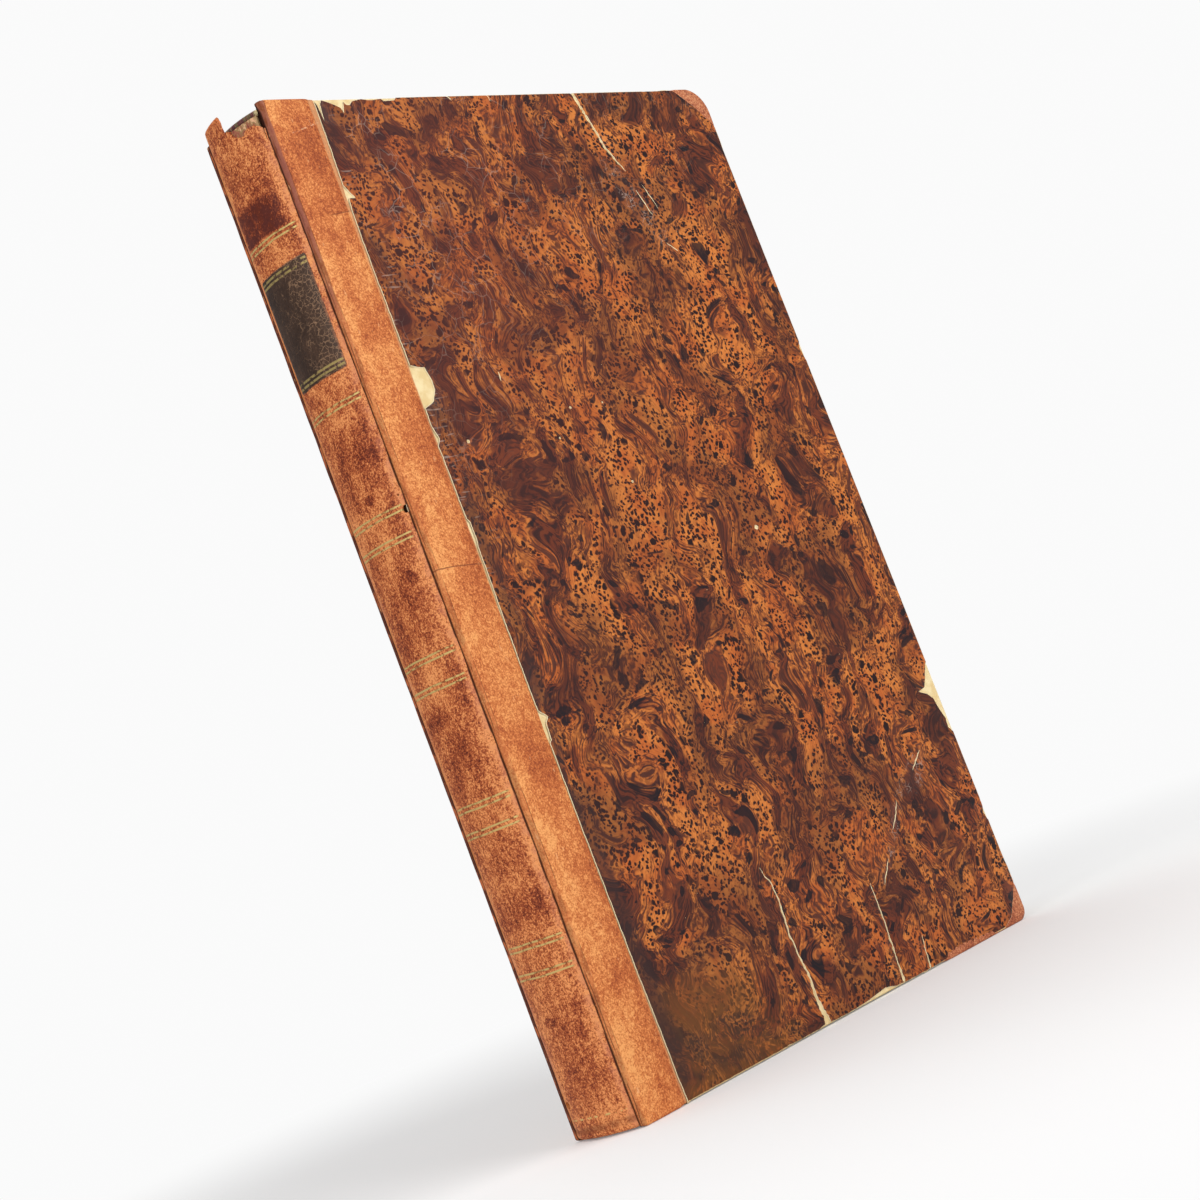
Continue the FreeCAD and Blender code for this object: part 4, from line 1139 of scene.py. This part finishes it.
def makeLeaves():
    sheetGap = 2 * leaves["half"] / leaves["count"]
    values = {
        "Leaves": leaves["count"], "Half Thickness": leaves["half"] * millimetre,
        "Sheet": min(leaves["sheet"], sheetGap * 0.93) * millimetre, "Foot": leaves["foot"] * millimetre,
        "Height": (leaves["head"] - leaves["foot"]) * millimetre,
        "Fore Edge": (leaves["fore"] + jointX) * millimetre, "Hollow": leaves["hollow"] * millimetre,
        "Back Centre": (leaves["backCentre"] + jointX) * millimetre,
        "Back Radius": leaves["backRadius"] * millimetre, "Stray": leaves["stray"] * millimetre,
        "Paper": leafMaterial}
    tree, keys, given, add = newTree("leafStack", values)
    index = add("GeometryNodeInputIndex")
    pitch = given["Half Thickness"] * 2 / given["Leaves"]
    y = (index + 0.5) * pitch - given["Half Thickness"]
    back = given["Back Centre"] - (given["Back Radius"] * given["Back Radius"] - y * y).root()
    part = y / given["Half Thickness"]
    fore = given["Fore Edge"] - given["Hollow"] * (1 - part * part)

    def stray(seed, low, high):
        return add("FunctionNodeRandomValue", {"data_type": "FLOAT"}, {2: low, 3: high, 8: seed}, 1)
    group = index.maths("FLOOR", index / leaves["gathering"])
    shared = add("FunctionNodeRandomValue", {"data_type": "FLOAT"}, {2: -1.0, 3: 0.0, 7: group, 8: 5}, 1)
    single = stray(7, -0.55, 0.0)
    fore = fore + given["Stray"] * (shared + single)
    top = given["Height"] + given["Stray"] * (shared * 0.5 + stray(11, -0.5, 0.0))
    centre = add("ShaderNodeCombineXYZ", {}, {0: (back + fore) * 0.5, 1: y, 2: given["Foot"] + top * 0.5})
    size = add("ShaderNodeCombineXYZ", {}, {0: fore - back, 1: given["Sheet"], 2: top})
    line = add("GeometryNodeMeshLine", {"mode": "OFFSET"}, {"Count": given["Leaves"], "Offset": (0, 0, 0)})
    spots = add("GeometryNodeSetPosition", {}, {"Geometry": line, "Position": centre})
    sheet = add("GeometryNodeMeshCube", {}, {"Size": (1, 1, 1), "Vertices X": 10, "Vertices Y": 2, "Vertices Z": 14})
    stack = add("GeometryNodeInstanceOnPoints", {}, {"Points": spots, "Instance": sheet, "Scale": size})
    solid = add("GeometryNodeRealizeInstances", {}, {0: stack})
    spot = add("GeometryNodeInputPosition")
    ripple = add("ShaderNodeTexNoise", {"noise_dimensions": "3D"},
                 {"Vector": spot, "Scale": leaves["rippleScale"], "Detail": 1.0}, 0)
    shift = add("ShaderNodeCombineXYZ", {}, {1: (ripple - 0.5) * (leaves["ripple"] * millimetre)})
    solid = add("GeometryNodeSetPosition", {}, {"Geometry": solid, "Offset": shift})
    painted = add("GeometryNodeSetMaterial", {}, {"Geometry": solid, "Material": given["Paper"]})
    tree.links.new(painted.socket, tree.nodes.new("NodeGroupOutput").inputs[0])
    grow("leaf_stack", tree, keys, values, "text_block", "leaves", ("page_block",), leafMaterial)


endband = {"radius": 32.36, "half": 12.0, "core": 24.5, "thread": 0.27, "coil": 0.9, "turns": 50, "head": 337.7,
           "tail": 2.3}


def makeEndbands():
    values = {
        "Turns": endband["turns"], "Radius": endband["radius"] * millimetre,
        "Sweep": math.asin(endband["half"] / endband["radius"]), "Coil": endband["coil"] * millimetre,
        "Thread": endband["thread"] * millimetre, "Centre": (spine["centre"] + jointX) * millimetre,
        "Level": endband["head"] * millimetre, "Silk": silkMaterial}
    tree, keys, given, add = newTree("threadCoils", values)
    index = add("GeometryNodeInputIndex")
    angle = (index / (given["Turns"] - 1) - 0.5) * 2 * given["Sweep"]
    x = given["Centre"] - given["Radius"] * angle.maths("COSINE", angle)
    y = given["Radius"] * angle.maths("SINE", angle)
    spots = add("GeometryNodeSetPosition", {}, {
        "Geometry": add("GeometryNodeMeshLine", {}, {"Count": given["Turns"], "Offset": (0, 0, 0)}),
        "Position": add("ShaderNodeCombineXYZ", {}, {0: x, 1: y, 2: given["Level"]})})
    ring = add("GeometryNodeCurvePrimitiveCircle", {}, {"Resolution": 14, "Radius": given["Coil"]})
    thread = add("GeometryNodeCurvePrimitiveCircle", {}, {"Resolution": 6, "Radius": given["Thread"]})
    coil = add("GeometryNodeCurveToMesh", {}, {"Curve": ring, "Profile Curve": thread})
    coil = add("GeometryNodeTransform", {}, {"Geometry": coil, "Rotation": (math.pi / 2, 0, 0)})
    spin = add("ShaderNodeCombineXYZ", {},
               {0: add("FunctionNodeRandomValue", {"data_type": "FLOAT"}, {2: -0.08, 3: 0.08, 8: 3}, 1),
                2: angle * -1})
    coils = add("GeometryNodeInstanceOnPoints", {}, {"Points": spots, "Instance": coil, "Rotation": spin})
    solid = add("GeometryNodeRealizeInstances", {}, {0: coils})
    core = add("GeometryNodeMeshCylinder", {},
               {"Vertices": 12, "Radius": given["Coil"], "Depth": endband["core"] * millimetre, "Side Segments": 16})
    core = add("GeometryNodeTransform", {}, {"Geometry": core, "Rotation": (math.pi / 2, 0, 0)})
    at = add("ShaderNodeSeparateXYZ", {}, {0: add("GeometryNodeInputPosition")}, 1)
    bend = given["Centre"] - (given["Radius"] * given["Radius"] - at * at).root()
    core = add("GeometryNodeSetPosition", {},
               {"Geometry": core, "Offset": add("ShaderNodeCombineXYZ", {}, {0: bend, 2: given["Level"]})})
    joined = makeNode(tree, "GeometryNodeJoinGeometry", {}, {})
    tree.links.new(core.socket, joined.inputs[0])
    tree.links.new(solid.socket, joined.inputs[0])
    painted = add("GeometryNodeSetMaterial", {},
                  {"Geometry": Wire(tree, joined.outputs[0]), "Material": given["Silk"]})
    tree.links.new(painted.socket, tree.nodes.new("NodeGroupOutput").inputs[0])
    for name, level, node in (("head_band_threads", endband["head"], "head_band"),
                              ("tail_band_threads", endband["tail"], "tail_band")):
        values["Level"] = level * millimetre
        grow(name, tree, keys, values, "text_block", "band_silk", (node,), silkMaterial)


makeLeaves()
makeEndbands()
print("leaves and endbands grown")


# CAD nodes that stay get their own finish
for node, material in {"front_board": boardMaterial, "back_board": boardMaterial, "front_pastedown": pasteMaterial,
                       "back_pastedown": pasteMaterial, "spine_lining": liningMaterial,
                       **{f"sewing_cord_{k}": cordMaterial for k in range(1, 6)}}.items():
    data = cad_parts[node].data
    data.materials.clear()
    data.materials.append(material)
print("boards, pastedowns, lining and cords finished")


# floor and lamps in metres, the fade of the floor to white in mm
studio = {"floor": 6.0, "floorTone": 0.86, "floorGlow": 0.16, "ambient": 0.30, "white": 0.96, "fadeFrom": 200.0,
          "fadeTo": 520.0, "target": (0, 0, 0.17)}
lamps = {"keyLamp": {"place": (0.25, -1.35, 0.85), "size": 1.3, "power": 15.0},
         "fillLamp": {"place": (-1.5, -0.35, 0.75), "size": 1.2, "power": 10.5},
         "topLamp": {"place": (0.1, 0.5, 1.7), "size": 1.2, "power": 8.0}}
sight = {"sensor": 36, "lens": 64.93, "near": 0.01, "far": 50, "place": (-0.554420, -0.505835, 0.092536),
         "right": (0.67012358, -0.65159011, -0.35547815), "up": (0.18509157, -0.31709535, 0.93015679),
         "back": (-0.71880143, -0.68911601, -0.09188923)}


def makeFloor():
    mesh = bpy.data.meshes.new("floor")
    h = studio["floor"]
    mesh.from_pydata([(-h, -h, 0), (h, -h, 0), (h, h, 0), (-h, h, 0)], [], [(0, 1, 2, 3)])
    floor = bpy.data.objects.new("floor", mesh)
    bpy.context.scene.collection.objects.link(floor)
    paint = Paint("floorWhite")
    ray = paint.tree.nodes.new("ShaderNodeLightPath")
    seen = Wire(paint.tree, ray.outputs["Is Camera Ray"])
    tone = studio["floorTone"]
    diffuse = paint.add("BsdfDiffuse", {}, {"Color": (tone, tone, tone, 1)})
    glow = paint.add("Emission", {}, {"Color": (1, 1, 1, 1), "Strength": seen * studio["floorGlow"]})
    near = paint.add("AddShader", {}, {0: diffuse, 1: glow})
    away = paint.add("Emission", {}, {"Color": (1, 1, 1, 1), "Strength": studio["white"]})
    far = paint.add("VectorMath", {"operation": "LENGTH"}, {0: paint.spot}, "Value")
    far = far.between(studio["fadeFrom"], studio["fadeTo"])
    both = paint.add("MixShader", {}, {0: far * seen, 1: near, 2: away})
    makeNode(paint.tree, "ShaderNodeOutputMaterial", {}, {0: both})
    mesh.materials.append(paint.material)


def makeWorld():
    world = bpy.data.worlds.new("studio")
    bpy.context.scene.world = world
    world.use_nodes = True
    tree = world.node_tree
    tree.nodes.clear()
    ray = tree.nodes.new("ShaderNodeLightPath")
    shows = Wire(tree, ray.outputs["Is Camera Ray"]).most(Wire(tree, ray.outputs["Is Transmission Ray"]))
    strength = shows * (studio["white"] - studio["ambient"]) + studio["ambient"]
    back = makeNode(tree, "ShaderNodeBackground", {}, {"Color": (1, 1, 1, 1), "Strength": strength})
    makeNode(tree, "ShaderNodeOutputWorld", {}, {0: Wire(tree, back.outputs[0])})


def makeLamp(name, place, size, power):
    data = bpy.data.lights.new(name, "AREA")
    data.shape, data.size, data.size_y, data.energy = "RECTANGLE", size, size, power
    lamp = bpy.data.objects.new(name, data)
    lamp.location = place
    lamp.rotation_euler = (Vector(studio["target"]) - Vector(place)).to_track_quat("-Z", "Y").to_euler()
    bpy.context.scene.collection.objects.link(lamp)


def makeCamera():
    data = bpy.data.cameras.new("camera")
    data.sensor_width, data.lens = sight["sensor"], sight["lens"]
    data.clip_start, data.clip_end = sight["near"], sight["far"]
    camera = bpy.data.objects.new("camera", data)
    turn = Matrix((sight["right"], sight["up"], sight["back"])).transposed()
    camera.matrix_world = Matrix.Translation(sight["place"]) @ turn.to_4x4()
    bpy.context.scene.collection.objects.link(camera)
    bpy.context.scene.camera = camera


makeFloor()
makeWorld()
for name, lamp in lamps.items():
    makeLamp(name, **lamp)
makeCamera()
bpy.context.scene.view_settings.view_transform = "Standard"
